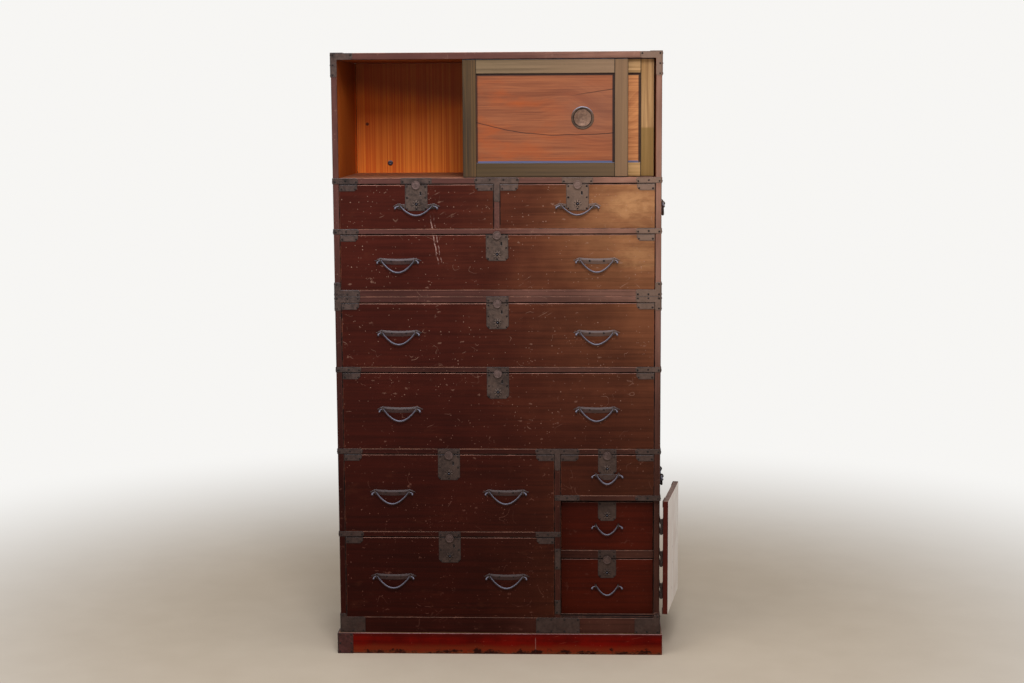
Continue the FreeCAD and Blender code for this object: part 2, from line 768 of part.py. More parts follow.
def drawer(name, x, z, face, front_thickness, lock_sizes, bails, bail_share, bail_kind, button,
           corners, boat_plate=False):
    """A drawer of five boards with its lock, eyes, plates, bails and push button."""
    gap = mm.drawer_side_gap
    front_x = (x[0] + gap, x[1] - gap)
    low = z[0] + mm.drawer_slide_gap
    top = z[1] - mm.drawer_top_gap
    middle = (x[0] + x[1]) / 2
    wall = mm.drawer_side_thickness
    front_back = face + front_thickness
    end = back_face - mm.drawer_back_gap
    wall_top = top - mm.drawer_wall_drop
    wall_floor = low + mm.drawer_bottom_thickness
    front_board = board(name + "_front_blank", front_x, (face, front_back), (low, top))
    shaft_z = z[1] - mm.disc_drop - mm.shaft_drop
    shaft_hole = None
    if button:
        shaft_hole = bore(name + "_shaft_hole", middle, face - mm.iron_thickness - mm.overrun, shaft_z,
                          mm.shaft_radius + mm.shaft_gap,
                          mm.iron_thickness + front_thickness + 2 * mm.overrun, ALONG_Y)
        front_board = cut(name + "_front", front_board, shaft_hole)
    node(name + "_box", [
        front_board,
        board(name + "_left_wall", (front_x[0], front_x[0] + wall), (front_back, end),
              (wall_floor, wall_top)),
        board(name + "_right_wall", (front_x[1] - wall, front_x[1]), (front_back, end),
              (wall_floor, wall_top)),
        board(name + "_back_wall", (front_x[0] + wall, front_x[1] - wall), (end - wall, end),
              (wall_floor, wall_top)),
        board(name + "_floor", front_x, (front_back, end), (low, wall_floor)),
    ])
    case_top = shaft_z - mm.shaft_radius - mm.shaft_gap
    iron = lock(name + "_lock_plate", middle, face, top, lock_sizes, shaft_hole)
    iron.append(board(name + "_lock_case",
                      (middle - mm.lock_case_width / 2, middle + mm.lock_case_width / 2),
                      (front_back, front_back + mm.lock_case_depth),
                      (case_top - mm.lock_case_height, case_top)))
    bail_z = z[0] + bail_share * (z[1] - z[0])
    span = {"wide": mm.bail_half_span, "small": mm.small_bail_half_span,
            "narrow": mm.narrow_bail_half_span}[bail_kind]
    shape = {"wide": wide_bail, "small": small_bail, "narrow": narrow_bail}[bail_kind]
    for side, bail_x in bails:
        for hand, eye_x in (("left", bail_x - span), ("right", bail_x + span)):
            root = mm.iron_thickness if bail_kind == "narrow" else 0
            iron.append(eye("%s_%s_%s_eye" % (name, side, hand), eye_x, face - mm.iron_thickness,
                            bail_z, root))
        if bail_kind == "wide":
            iron.append(leaf("%s_%s_leaf" % (name, side), bail_x, face, bail_z))
        if bail_kind == "small":
            iron.append(wing(name + "_left_wing", bail_x, face, bail_z, -1))
            iron.append(wing(name + "_right_wing", bail_x, face, bail_z, 1))
        label = name + "_bail" if side == "middle" else "%s_%s_bail" % (name, side)
        bail(label, shape, (bail_x, face - mm.iron_thickness - mm.eye_reach, bail_z))
    if boat_plate:
        iron.append(boat(name + "_boat", middle, face, top - lock_sizes[1]))
    if corners:
        iron.append(corner_plate(name + "_left_corner", front_x[0], face, top, "left"))
        iron.append(corner_plate(name + "_right_corner", front_x[1], face, top, "right"))
    node(name + "_ironwork", iron)
    if button:
        disc_z = z[1] - mm.disc_drop
        disc_back = face - mm.iron_thickness - mm.button_stop_gap - mm.button_travel
        disc_face = disc_back - mm.disc_thickness
        button_piece = fuse(name + "_button", [
            rod(name + "_disc", middle, disc_face, disc_z, mm.disc_radius, mm.disc_thickness,
                DISC_SIDES, ALONG_Y),
            rod(name + "_shaft", middle, disc_face, shaft_z, mm.shaft_radius,
                mm.disc_thickness + mm.shaft_length, PIN_SIDES, ALONG_Y)])
        button_piece.Label = name + "_button"
        nodes.append(button_piece)


wide_lock = (mm.lock_width, mm.lock_height, mm.key_drop, True)
narrow_lock = (mm.narrow_lock_width, mm.narrow_lock_height, mm.narrow_key_drop, False)
wide_bails = (("left", -mm.wide_bail_x), ("right", mm.wide_bail_x))
left_middle = (left_column[0] + left_column[1]) / 2
left_bails = (("left", left_middle - mm.left_bail_x), ("right", left_middle + mm.left_bail_x))


def middle_bail(x):
    return (("middle", (x[0] + x[1]) / 2),)


plain = mm.drawer_front_thickness
drawer("left_small_drawer", left_small, small_drawers, front, plain, wide_lock,
       middle_bail(left_small), mm.narrow_bail_share, "small", True, True)
drawer("right_small_drawer", right_small_drawer, small_drawers, front, plain, wide_lock,
       middle_bail(right_small_drawer), mm.narrow_bail_share, "small", True, True)
drawer("upper_wide_drawer", between_sides, upper_wide, front, plain, wide_lock,
       wide_bails, mm.upper_wide_bail_share, "wide", True, True)
drawer("lower_wide_drawer_high", between_sides, lower_wide_high, front, plain, wide_lock,
       wide_bails, mm.lower_wide_high_bail_share, "wide", True, True)
drawer("lower_wide_drawer_low", between_sides, lower_wide_low, front, plain, wide_lock,
       wide_bails, mm.lower_wide_low_bail_share, "wide", True, True)
drawer("left_drawer_high", left_column, left_high, front, plain, wide_lock,
       left_bails, mm.left_bail_share, "wide", True, True)
drawer("left_drawer_low", left_column, left_low, front, plain, wide_lock,
       left_bails, mm.left_bail_share, "wide", True, True)
drawer("right_drawer", right_column, right_small, front, plain, narrow_lock,
       middle_bail(right_column), mm.narrow_bail_share, "narrow", True, True, True)
drawer("safe_drawer_high", right_column, safe_upper, safe_front, mm.safe_front_thickness, narrow_lock,
       middle_bail(right_column), mm.narrow_bail_share, "narrow", False, False)
drawer("safe_drawer_low", right_column, safe_lower, safe_front, mm.safe_front_thickness, narrow_lock,
       middle_bail(right_column), mm.narrow_bail_share, "narrow", True, False)

# Safe door, modelled open as it stands at rest

door_gap = mm.safe_door_edge_gap
closed_x = (divider_right + door_gap, half_width)
safe_door_z = (floor_top + mm.foot_iron_leg + door_gap, safe_top - door_gap)
axis_x = half_width + mm.hinge_offset
axis_y = front - mm.hinge_offset
open_turn = FreeCAD.Rotation(FreeCAD.Vector(0, 0, 1), mm.safe_door_open_angle.value)


def opened(name, pieces):
    """Pieces drawn closed about the hinge axis, swung open about it."""
    thing = node(name, pieces)
    place(thing, axis_x, axis_y, 0, open_turn)
    bind(thing, "Placement.Rotation.Angle", mm.safe_door_open_angle)


closed_span = (closed_x[0] - axis_x, -mm.hinge_offset - mm.safe_stop_gap)
closed_y = (mm.hinge_offset, mm.hinge_offset + mm.safe_door_thickness)
opened("safe_door", [board("safe_door_board", closed_span, closed_y, safe_door_z)])

def knuckle_rod(name, x, y, z):
    """A hinge knuckle with flats all round but for one arc on the outer corner, about the pin."""
    step = 2 * math.pi / KNUCKLE_SIDES
    radius = mm.hinge_knuckle_radius
    turns = [-math.pi / 4 + step * (k - 0.5) for k in range(KNUCKLE_SIDES)]
    corners = [(radius * math.cos(a), radius * math.sin(a)) for a in turns]
    return plate(name, "XY", corners, knuckle, (x, y, z), {0: radius * (1 - math.cos(step / 2))})


HINGE_COUNT = 3
hinge_tops = [safe_top - mm.hinge_top_drop - k * mm.hinge_pitch for k in range(HINGE_COUNT)]
knuckle = (mm.hinge_height - 2 * mm.hinge_knuckle_gap) / 3
door_iron = []
case_hinges = []
for k, hinge_top in enumerate(hinge_tops):
    knuckle_top = hinge_top - knuckle - mm.hinge_knuckle_gap
    door_knuckle = (knuckle_top - knuckle, knuckle_top)
    leaf_y = (mm.hinge_offset - mm.hinge_leaf_thickness, mm.hinge_offset)
    leaf_end = closed_span[1]
    blank = fuse("door_hinge_blank_%d" % k, [
        board("door_leaf_%d" % k, (leaf_end - mm.hinge_leaf_length, leaf_end), leaf_y,
              (hinge_top - mm.hinge_height, hinge_top)),
        board("door_leaf_arm_%d" % k, (leaf_end, 0), leaf_y, door_knuckle),
        knuckle_rod("door_knuckle_%d" % k, 0, 0, door_knuckle[0])])
    door_iron.append(cut("door_hinge_%d" % k, blank, bore(
        "door_bore_%d" % k, 0, 0, door_knuckle[0] - mm.overrun,
        mm.hinge_pin_radius + mm.hinge_pin_gap, knuckle + 2 * mm.overrun)))
    for part, low in (("low", hinge_top - mm.hinge_height), ("high", hinge_top - knuckle)):
        case_hinges.append(fuse("case_hinge_%s_%d" % (part, k), [
            board("case_leaf_%s_%d" % (part, k), (half_width, half_width + mm.hinge_leaf_thickness),
                  (axis_y, front + mm.hinge_leaf_length), (low, low + knuckle)),
            knuckle_rod("case_knuckle_%s_%d" % (part, k), axis_x, axis_y, low)]))
    case_hinges.append(rod("hinge_pin_%d" % k, axis_x, axis_y, hinge_top - mm.hinge_height + knuckle,
                           mm.hinge_pin_radius, mm.hinge_height - 2 * knuckle, HOLE_SIDES))

door_plate_x = closed_span[0] + mm.narrow_lock_width / 2
door_lock_z = (safe_door_z[0] + safe_door_z[1]) / 2 + mm.narrow_lock_height / 2
door_iron += lock("safe_door_lock_plate", door_plate_x, mm.hinge_offset, door_lock_z, narrow_lock)
for level, z in (("top", safe_door_z[1]), ("bottom", safe_door_z[0] + mm.drawer_corner_height)):
    door_iron.append(corner_plate("safe_door_%s_left_corner" % level, closed_span[0],
                                  mm.hinge_offset, z, "left"))
    door_iron.append(corner_plate("safe_door_%s_right_corner" % level, closed_span[1],
                                  mm.hinge_offset, z, "right"))
opened("safe_door_ironwork", door_iron)

# Case ironwork

iron = mm.iron_thickness
iron_y = (front - iron, front)


def leg_tip(start, end, level, bulge):
    """The rounded end of a leg, from one of its sides to the other."""
    turns = [math.pi * k / LEG_SIDES for k in range(LEG_SIDES + 1)]
    return [(start + (end - start) * ((1 - math.cos(a)) / 2), level + bulge * math.sin(a)) for a in turns]


def end_iron(name, side, z, length, leg=None):
    """A plate on the end of a rail that turns the corner onto the chest's side."""
    clip = mm.iron_chamfer
    low, high = z
    tall = high - low
    post = mm.side_thickness
    bulge = mm.leg_bulge
    side_z = (low, high)
    free_end = [(length - clip, 0), (length, clip), (length, tall - clip), (length - clip, tall)]
    if leg is None:
        corners = [(0, 0)] + free_end + [(0, tall)]
    elif leg[0] == "up":
        side_z = (low, high + leg[1])
        corners = [(0, 0), (length, 0)] + free_end[2:] + [(post, tall)]
        corners += leg_tip(post, 0, tall + leg[1] - bulge, bulge)
    else:
        side_z = (low - leg[1], high)
        corners = leg_tip(0, post, bulge - leg[1], -bulge) + [(post, 0)] + free_end[:2]
        corners += [(length, tall), (0, tall)]
    x, side_x = -half_width, (-half_width - iron, -half_width)
    if side == "right":
        x, side_x = half_width, (half_width, half_width + iron)
        corners = [(-u, v) for u, v in reversed(corners)]
    return [plate(name, "XZ", corners, iron, (x, front, low)),
            board(name + "_return", side_x, (front - iron, front + mm.end_iron_side), side_z)]


def tee_iron(name, x, z, leg):
    """A plate where a divider meets a rail, with a leg down the divider."""
    clip = mm.iron_chamfer
    half = mm.tee_length / 2
    post = mm.divider_thickness / 2
    tall = z[1] - z[0]
    corners = [(-half, clip), (clip - half, 0), (-post, 0)]
    corners += leg_tip(-post, post, mm.leg_bulge - leg, -mm.leg_bulge)
    corners += [(post, 0), (half - clip, 0), (half, clip), (half, tall - clip), (half - clip, tall),
                (clip - half, tall), (-half, tall - clip)]
    return plate(name, "XZ", corners, iron, (x, front, z[0]))


def foot_iron(name, x, z):
    """A plate on the bottom rail under a divider, with its upper corners cut off."""
    clip = mm.iron_chamfer
    half = mm.foot_iron_length / 2
    tall = z[1] - z[0]
    corners = [(-half, 0), (half, 0), (half, tall - clip), (half - clip, tall), (clip - half, tall),
               (-half, tall - clip)]
    return plate(name, "XZ", corners, iron, (x, front, z[0]))


def side_eye(name, sign, y, z):
    """An eye for a carrying handle, standing out of the chest's side, bored along Y."""
    x = sign * (half_width + iron)
    near = y - mm.eye_width / 2
    blank = shank(name, "XZ", 0, mm.carry_eye_reach, mm.carry_eye_radius, sign,
                  (x, near + mm.eye_width, z))
    return cut(name, blank, bore(name + "_bore", x + sign * mm.carry_eye_reach, near - mm.overrun, z,
                                 thinned(mm.carry_wire_radius) + mm.eye_hole_gap,
                                 mm.eye_width + 2 * mm.overrun, ALONG_Y))


def carrying_handles(chest, z):
    """Two eyes and their back plates on each side of a chest, and the bail in them."""
    pieces = []
    for side, sign in (("left", -1), ("right", 1)):
        face = sign * half_width
        out_face = face + sign * iron
        plate_x = (face, out_face) if side == "right" else (out_face, face)
        for hand, y in (("front", -mm.carry_half_span), ("back", mm.carry_half_span)):
            pieces.append(board("%s_%s_%s_carry_plate" % (chest, side, hand), plate_x,
                                (y - mm.carry_plate_width / 2, y + mm.carry_plate_width / 2),
                                (z - mm.carry_plate_height / 2, z + mm.carry_plate_height / 2)))
            pieces.append(side_eye("%s_%s_%s_carry_eye" % (chest, side, hand), sign, y, z))
        turn = FreeCAD.Rotation(FreeCAD.Vector(0, 0, 1), sign * 90)
        bail("%s_chest_%s_handle" % (chest, side), carry_bail,
             (sign * (half_width + iron + mm.carry_eye_reach), 0, z), turn)
    return pieces


upper_iron = [
    board("top_left_cap", (-half_width - iron, mm.top_iron_cap - half_width), (front - iron, front
          + mm.end_iron_side), (chest_top, chest_top + iron)),
    board("top_right_cap", (half_width - mm.top_iron_cap, half_width + iron), (front - iron, front
          + mm.end_iron_side), (chest_top, chest_top + iron)),
    tee_iron("small_divider_tee", 0, (small_drawers[1], shelf_top), mm.small_tee_leg),
]
for side in ("left", "right"):
    upper_iron += end_iron("top_%s_iron" % side, side, (compartment[1], chest_top), mm.top_iron_length,
                           ("down", mm.top_iron_leg))
    upper_iron += end_iron("shelf_%s_iron" % side, side, (small_drawers[1], shelf_top), mm.end_iron_length)
    upper_iron += end_iron("upper_rail_%s_iron" % side, side, (upper_wide[1], small_floor),
                           mm.end_iron_length)
    upper_iron += end_iron("upper_foot_%s_iron" % side, side, (seam, upper_floor), mm.end_iron_length,
                           ("up", mm.seam_upper_leg))
for name, x in (("left_small", left_small), ("right_small", right_small_drawer)):
    middle = (x[0] + x[1]) / 2
    half = mm.small_rail_plate_width / 2
    upper_iron.append(board(name + "_rail_plate", (middle - half, middle + half), iron_y,
                            (small_drawers[1], shelf_top)))
upper_iron.append(rod("back_bolt", -mm.back_bolt_aside, back_face - mm.back_bolt_height,
                      shelf_top + mm.back_bolt_up, mm.back_bolt_radius, mm.back_bolt_height,
                      WASHER_SIDES, ALONG_Y))
upper_iron += carrying_handles("upper", seam + mm.upper_carry_height)
node("upper_case_ironwork", upper_iron)

lower_iron = case_hinges + [
    tee_iron("column_tee", mm.column_divider_x, (column_top, lower_wide_low[0]), mm.column_tee_leg),
    board("left_rail_right_iron", (divider_right - mm.end_iron_length, divider_right), iron_y,
          (left_low[1], left_high[0])),
    board("right_rail_left_iron", (divider_left, divider_left + mm.end_iron_length), iron_y,
          (safe_top, right_small[0])),
    board("column_strip_high", (divider_left, divider_right), iron_y,
          (left_low[1] - mm.column_strip_top_drop - mm.column_strip_high,
           left_low[1] - mm.column_strip_top_drop)),
    board("column_strip_low", (divider_left, divider_right), iron_y,
          (floor_top + mm.foot_iron_leg, floor_top + mm.foot_iron_leg + mm.column_strip_low)),
    foot_iron("column_foot_iron", mm.column_divider_x, (base_top, floor_top)),
]
for side in ("left", "right"):
    lower_iron += end_iron("lower_head_%s_iron" % side, side, (lower_wide_high[1], seam),
                           mm.end_iron_length, ("down", mm.seam_lower_leg))
    for name, z in (("high_rail", (lower_wide_low[1], lower_wide_high[0])),
                    ("low_rail", (column_top, lower_wide_low[0]))):
        lower_iron += end_iron("%s_%s_iron" % (name, side), side, z, mm.end_iron_length)
    lower_iron += end_iron("foot_%s_iron" % side, side, (base_top, floor_top), mm.end_iron_length,
                           ("up", mm.foot_iron_leg))
lower_iron += end_iron("left_rail_left_iron", "left", (left_low[1], left_high[0]), mm.end_iron_length)
lower_iron += end_iron("right_rail_right_iron", "right", (safe_top, right_small[0]), mm.end_iron_length)
rail_plates = (
    ("high_drawer", 0, (lower_wide_high[1], seam)),
    ("low_drawer", 0, (lower_wide_low[1], lower_wide_high[0])),
    ("left_high_drawer", left_middle, (column_top, lower_wide_low[0])),
    ("left_low_drawer", left_middle, (left_low[1], left_high[0])),
)
for name, x, z in rail_plates:
    lower_iron.append(board(name + "_rail_plate", (x - mm.lock_width / 2, x + mm.lock_width / 2),
                            iron_y, z))
right_middle = (right_column[0] + right_column[1]) / 2
lower_iron.append(board("right_drawer_rail_plate", (right_middle - mm.narrow_lock_width / 2,
                                                    right_middle + mm.narrow_lock_width / 2),
                        iron_y, (column_top, lower_wide_low[0])))
lower_iron += carrying_handles("lower", mm.lower_carry_height)
node("lower_case_ironwork", lower_iron)

node("base_ironwork", [
    board("base_corner_iron", (-base_x, mm.base_iron_length - base_x),
          (base_front - iron, base_front), base_z),
    board("base_corner_return", (-base_x - iron, -base_x), (base_front - iron, base_front + mm.end_iron_side),
          base_z),
])

# Build, check and write

doc.recompute()
for thing in doc.Objects:
    if "Invalid" in thing.State or "Error" in thing.State:
        raise SystemExit("failed: %s %s" % (thing.Name, thing.State))
for thing in nodes:
    if thing.Shape.isNull() or not thing.Shape.isValid():
        raise SystemExit("bad shape: " + thing.Label)

os.makedirs("parts", exist_ok=True)
for thing in nodes:
    thing.Shape.exportStep("parts/%s.step" % thing.Label)
print("nodes", len(nodes))
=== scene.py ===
import json
import math
import random

import bmesh
import bpy
from mathutils import Matrix, Vector
from mathutils.bvhtree import BVHTree


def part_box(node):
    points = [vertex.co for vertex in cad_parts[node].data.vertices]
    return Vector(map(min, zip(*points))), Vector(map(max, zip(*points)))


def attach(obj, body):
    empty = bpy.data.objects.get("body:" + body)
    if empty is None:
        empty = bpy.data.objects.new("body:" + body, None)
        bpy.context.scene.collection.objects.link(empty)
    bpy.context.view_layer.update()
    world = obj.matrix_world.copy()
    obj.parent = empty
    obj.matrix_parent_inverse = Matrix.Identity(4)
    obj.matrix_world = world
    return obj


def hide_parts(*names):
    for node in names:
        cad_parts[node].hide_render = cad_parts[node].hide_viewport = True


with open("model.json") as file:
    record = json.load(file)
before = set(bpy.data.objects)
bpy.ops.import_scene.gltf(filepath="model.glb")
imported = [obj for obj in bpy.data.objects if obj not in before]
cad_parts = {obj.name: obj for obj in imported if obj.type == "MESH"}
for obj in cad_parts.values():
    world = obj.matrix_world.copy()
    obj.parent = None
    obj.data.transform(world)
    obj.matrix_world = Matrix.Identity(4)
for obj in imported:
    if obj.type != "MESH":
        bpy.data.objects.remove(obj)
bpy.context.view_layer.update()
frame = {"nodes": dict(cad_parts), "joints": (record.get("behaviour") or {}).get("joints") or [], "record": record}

# A stacked clothing chest of lacquered wood with forged iron fittings, dressed over its CAD frame.
# Metres. +Z is up, the front faces -Y, +X is to the viewer's right.

nodes = frame["nodes"]
joints = {joint["child"]: joint for joint in frame["joints"]}
body_of = {node: body for body, members in frame["record"]["behaviour"]["bodies"].items() for node in members}
MM = 0.001

# Places read from the frame, and small sizes

case_low, case_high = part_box("lower_case")
HALF_WIDTH = case_high.x
FRONT = case_low.y
REAR = case_high.y
SEAM = case_high.z
CHEST_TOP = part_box("upper_case")[1].z
COMPARTMENT_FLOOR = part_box("front_sliding_door")[0].z + 3 * MM
SURFACE_GAP = 0.05 * MM
FRONT_EASE = 0.9 * MM
KNOT = (-0.423, REAR - 8.5 * MM, COMPARTMENT_FLOOR + 0.150)
STILE_PATCH = COMPARTMENT_FLOOR + 0.140
BASE_JOINT = 0.107
LEAF_CREST = 8 * MM
LEAF_BEND = 52 * MM
LEAF_SAG = 3 * MM
DISC_RADIUS = 12.4 * MM
DISC_ROOM = 4 * MM
HAIR = 1 * MM
INNER_DEPTH = 60 * MM
FLOOR_BOARD = 8 * MM
BACK_BOARD = 12 * MM
LEAST_STILE = 8 * MM
SQUARE_ON = 0.9


def middle_of(node):
    low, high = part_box(node)
    return (low + high) / 2


# Shader tools

def paint(red, green, blue):
    """A colour as a screen shows it, from 0 to 255, in linear light."""
    def linear(value):
        share = value / 255
        return share / 12.92 if share <= 0.04045 else ((share + 0.055) / 1.055) ** 2.4
    return (linear(red), linear(green), linear(blue), 1)


def operator(operation, swapped=False):
    """A method of Wire that adds one Math node."""
    def run(self, *others):
        return self.finish.math(operation, *((*others, self) if swapped else (self, *others)))
    return run


class Wire:
    """One output of a node. Python's arithmetic on it adds Math nodes."""

    __add__ = __radd__ = operator("ADD")
    __sub__ = operator("SUBTRACT")
    __rsub__ = operator("SUBTRACT", swapped=True)
    __mul__ = __rmul__ = operator("MULTIPLY")
    __truediv__ = operator("DIVIDE")
    __pow__ = operator("POWER")
    __abs__ = operator("ABSOLUTE")
    least = operator("MINIMUM")
    most = operator("MAXIMUM")

    def __init__(self, finish, socket):
        self.finish = finish
        self.socket = socket

    def output(self, name):
        """Another output of the same node."""
        return Wire(self.finish, self.socket.node.outputs[name])

    def rise(self, low, high):
        """0 below low and 1 above high, with a smooth step between."""
        return self.finish.add("ShaderNodeMapRange", {"interpolation_type": "SMOOTHSTEP"},
                               {"Value": self, "From Min": low, "From Max": high})

    def fall(self, low, high):
        return 1 - self.rise(low, high)


class Graph:
    """A node tree with one method that adds any node."""

    def __init__(self, tree):
        self.tree = tree
        tree.nodes.clear()

    def add(self, kind, settings=None, inputs=None, output=0):
        node = self.tree.nodes.new(kind)
        for key, value in (settings or {}).items():
            setattr(node, key, value)
        for key, value in (inputs or {}).items():
            if isinstance(value, Wire):
                self.tree.links.new(value.socket, node.inputs[key])
            else:
                node.inputs[key].default_value = value
        return Wire(self, node.outputs[output]) if node.outputs else None


class Finish(Graph):
    """A material with the few calls that the recipes below are written in."""

    def __init__(self, name):
        self.material = bpy.data.materials.new(name)
        self.material.use_nodes = True
        super().__init__(self.material.node_tree)

    def math(self, operation, *values):
        return self.add("ShaderNodeMath", {"operation": operation}, dict(enumerate(values)))

    def mix(self, share, first, second):
        """Blends two colours, each a wire or a tone as a screen shows it."""
        first, second = (paint(*c) if isinstance(c, tuple) else c for c in (first, second))
        return self.add("ShaderNodeMix", {"data_type": "RGBA"}, {0: share, 6: first, 7: second}, 2)

    def lay(self, share, tone):
        """Lays a tone over the colour that the material has so far."""
        self.colour = self.mix(share, self.colour, tone)

    def vector(self, operation, *values):
        return self.add("ShaderNodeVectorMath", {"operation": operation}, dict(enumerate(values)))

    def scaled(self, vector, factor):
        return self.add("ShaderNodeVectorMath", {"operation": "SCALE"}, {"Vector": vector, "Scale": factor})

    def attribute(self, name, output="Vector"):
        return self.add("ShaderNodeAttribute", {"attribute_name": name}, {}, output)

    def where(self):
        return self.add("ShaderNodeTexCoord", {}, {}, "Object")

    def upward(self):
        """How far a face looks up: 1 for a top, -1 for an underside."""
        return self.axes(self.add("ShaderNodeNewGeometry", {}, {}, "Normal"))[2]

    def stretched(self, place, *factors):
        return self.vector("MULTIPLY", place, factors)

    def axes(self, place):
        parts = self.add("ShaderNodeSeparateXYZ", {}, {"Vector": place})
        return parts, parts.output("Y"), parts.output("Z")

    def noise(self, place, scale, detail=4, roughness=0.55, distortion=0):
        return self.add("ShaderNodeTexNoise", {}, {
            "Vector": place, "Scale": scale, "Detail": detail, "Roughness": roughness,
            "Distortion": distortion})

    def cells(self, place, scale):
        return self.add("ShaderNodeTexVoronoi", {}, {"Vector": place, "Scale": scale})

    def surface(self, roughness, height, depth, metallic=0, coat=0, specular=0.3):
        """Ends the material, with a bump whose depth is in millimetres."""
        normal = self.add("ShaderNodeBump", {}, {"Strength": 1, "Distance": depth * MM, "Height": height})
        shader = self.add("ShaderNodeBsdfPrincipled", {}, {
            "Base Color": self.colour, "Roughness": roughness, "Metallic": metallic, "Coat Weight": coat,
            "Coat Roughness": 0.25, "Specular IOR Level": specular, "Normal": normal})
        self.add("ShaderNodeOutputMaterial", {}, {"Surface": shader})
        return self.material

    # Patterns shared by several finishes

    def grain(self, along, across):
        """Streaks that run along a board, from its own coordinates."""
        place = self.vector("ADD", self.attribute("place"),
                            self.scaled((3.1, 1.7, 2.3), self.attribute("seed", "Fac")))
        return self.stretched(place, along, across, across)

    def edge_distance(self):
        """Metres from the nearest edge of a board: the middle one of its three face distances."""
        reach = self.vector("ABSOLUTE", self.attribute("place"))
        a, b, c = self.axes(self.vector("SUBTRACT", self.attribute("half"), reach))
        return a.least(b).most(a.most(b).least(c))

    def from_edge(self, ragged, spread):
        """Millimetres from a board's nearest edge, made ragged by a noise."""
        return self.edge_distance() * 1000 + (ragged - 0.5) * spread

    def fading(self, x, z):
        """Where years of window light have bleached the chest: most at the upper right."""
        return x.rise(-0.35, 0.55) ** 1.9 * (0.14 + 0.86 * z.rise(0.6, 1.46))

    def patch(self, x, z, middle_x, middle_z, wide, high):
        """1 in the middle of a soft oval on the front and 0 outside it."""
        across = (x - middle_x) / wide
        up = (z - middle_z) / high
        return ((across * across + up * up) ** 0.5).fall(0.2, 1)

    def specks(self, place, scale, share, radius):
        """Small chips, one each in a share of the cells."""
        cell = self.cells(place, scale)
        pick = self.add("ShaderNodeSeparateColor", {}, {"Color": cell.output("Color")})
        return cell.fall(radius * 0.5, radius) * pick.fall(share * 0.9, share)

    def scratches(self, place, slant, length, spacing, share):
        """Thin broken lines at one slant, in degrees."""
        spun = self.add("ShaderNodeMapping", {}, {"Vector": place, "Rotation": (0, math.radians(slant), 0)})
        lines = self.noise(self.stretched(spun, length, spacing, spacing), 1, 2, 0.5, 0.4)
        patches = self.noise(place, 7, 2)
        return lines.rise(0.67, 0.71) * patches.rise(1 - share, 1.08 - share)

    def strokes(self, place, shift, scale, share):
        """Thin curved scratches in short strokes."""
        moved = self.vector("ADD", place, shift)
        bend = abs(self.noise(moved, scale, 1, 0.5, 0.3) - 0.5)
        return bend.fall(0.002, 0.007) * self.noise(moved, 19, 2).rise(1 - share, 1.05 - share)


# Finishes. A recipe's thresholds, scales and shares were set against the photograph. Tones are
# as a screen shows them. noise takes place, scale, detail, roughness and distortion.

def lacquer(name, low, high, worn, faded, wear=1, brown=1, lift=(0.15, 1.35), gilt=1):
    """Old dark lacquer: streaked along the grain, faded brown at the upper right, chipped and scratched, and
    darker lower down as painted shade.
    """
    f = Finish(name)
    here = f.where()
    x, y, z = f.axes(here)
    streaks = f.noise(f.grain(2.4, 90), 1, 5, 0.64, 0.6)
    cloud = f.noise(here, 4.5, 4, 0.6)
    mottle = f.noise(f.stretched(here, 17, 30, 42), 1, 6, 0.68, 0.3)
    fade = f.fading(x + (cloud - 0.5) * 0.4, z) * brown
    # Painted shade: the low tone near the floor rises to the high tone higher up, as if lit from above.
    f.colour = f.mix(z.rise(*lift), low, high)
    f.lay(fade, faded)
    f.colour = f.scaled(f.colour, 0.72 + (streaks * 0.6 + cloud * 0.4).rise(0.34, 0.66) * 0.56)
    gold = (mottle * 0.6 + cloud * 0.4).rise(0.36, 0.64)
    glow = f.patch(x, z, 0.395, 1.335, 0.13, 0.070).most(f.patch(x, z, 0.415, 1.185, 0.12, 0.060) * 0.6)
    glow = glow.most((x - y).rise(0.34, 0.66) * z.rise(1.04, 1.32) * 0.45)
    f.lay((0.25 + gold * 0.75) * glow * gilt * 0.9, (196, 144, 98))
    f.lay(mottle.rise(0.56, 0.72) * (0.10 + fade * 0.35) * wear, worn)
    rub = f.noise(f.grain(9, 60), 1, 4)
    edge = f.from_edge(rub, 12).fall(-1.5, 2.5)
    f.lay(edge * 0.5 * wear, worn)
    crowd = f.noise(here, 9, 3).rise(0.40, 0.68)
    chips = f.specks(here, 230, 0.02 + crowd * 0.06, 0.34).most(
        f.specks(here, 120, 0.01 + crowd * 0.07, 0.26))
    ragged = f.vector("ADD", here, f.scaled(f.noise(here, 110, 2).output("Color"), 0.011))
    scuffs = f.specks(f.stretched(ragged, 0.42, 1, 1), 72, 0.02 + crowd * 0.16, 0.24)
    lines = f.scratches(here, 28, 22, 330, 0.37).most(
        f.strokes(here, (0, 0, 0), 12, 0.375)).most(
        f.strokes(here, (3.7, 1.1, 5.3), 24, 0.38))
    marks = (chips * 0.7).most(lines * 0.42).most(scuffs * 0.34)
    # The marks' tone is also darker lower down, as painted shade.
    f.lay(marks * wear, f.mix(z.rise(0.3, 1.25), (116, 74, 62), (166, 130, 112)))
    rough = 0.40 + cloud * 0.2 + marks * 0.25 + edge * 0.2
    height = streaks * 0.25 - marks - edge * 0.4
    return f, rough, height


def plain_lacquer(*recipe, **shares):
    f, rough, height = lacquer(*recipe, **shares)
    return f.surface(rough, height, 0.3, specular=0.07)


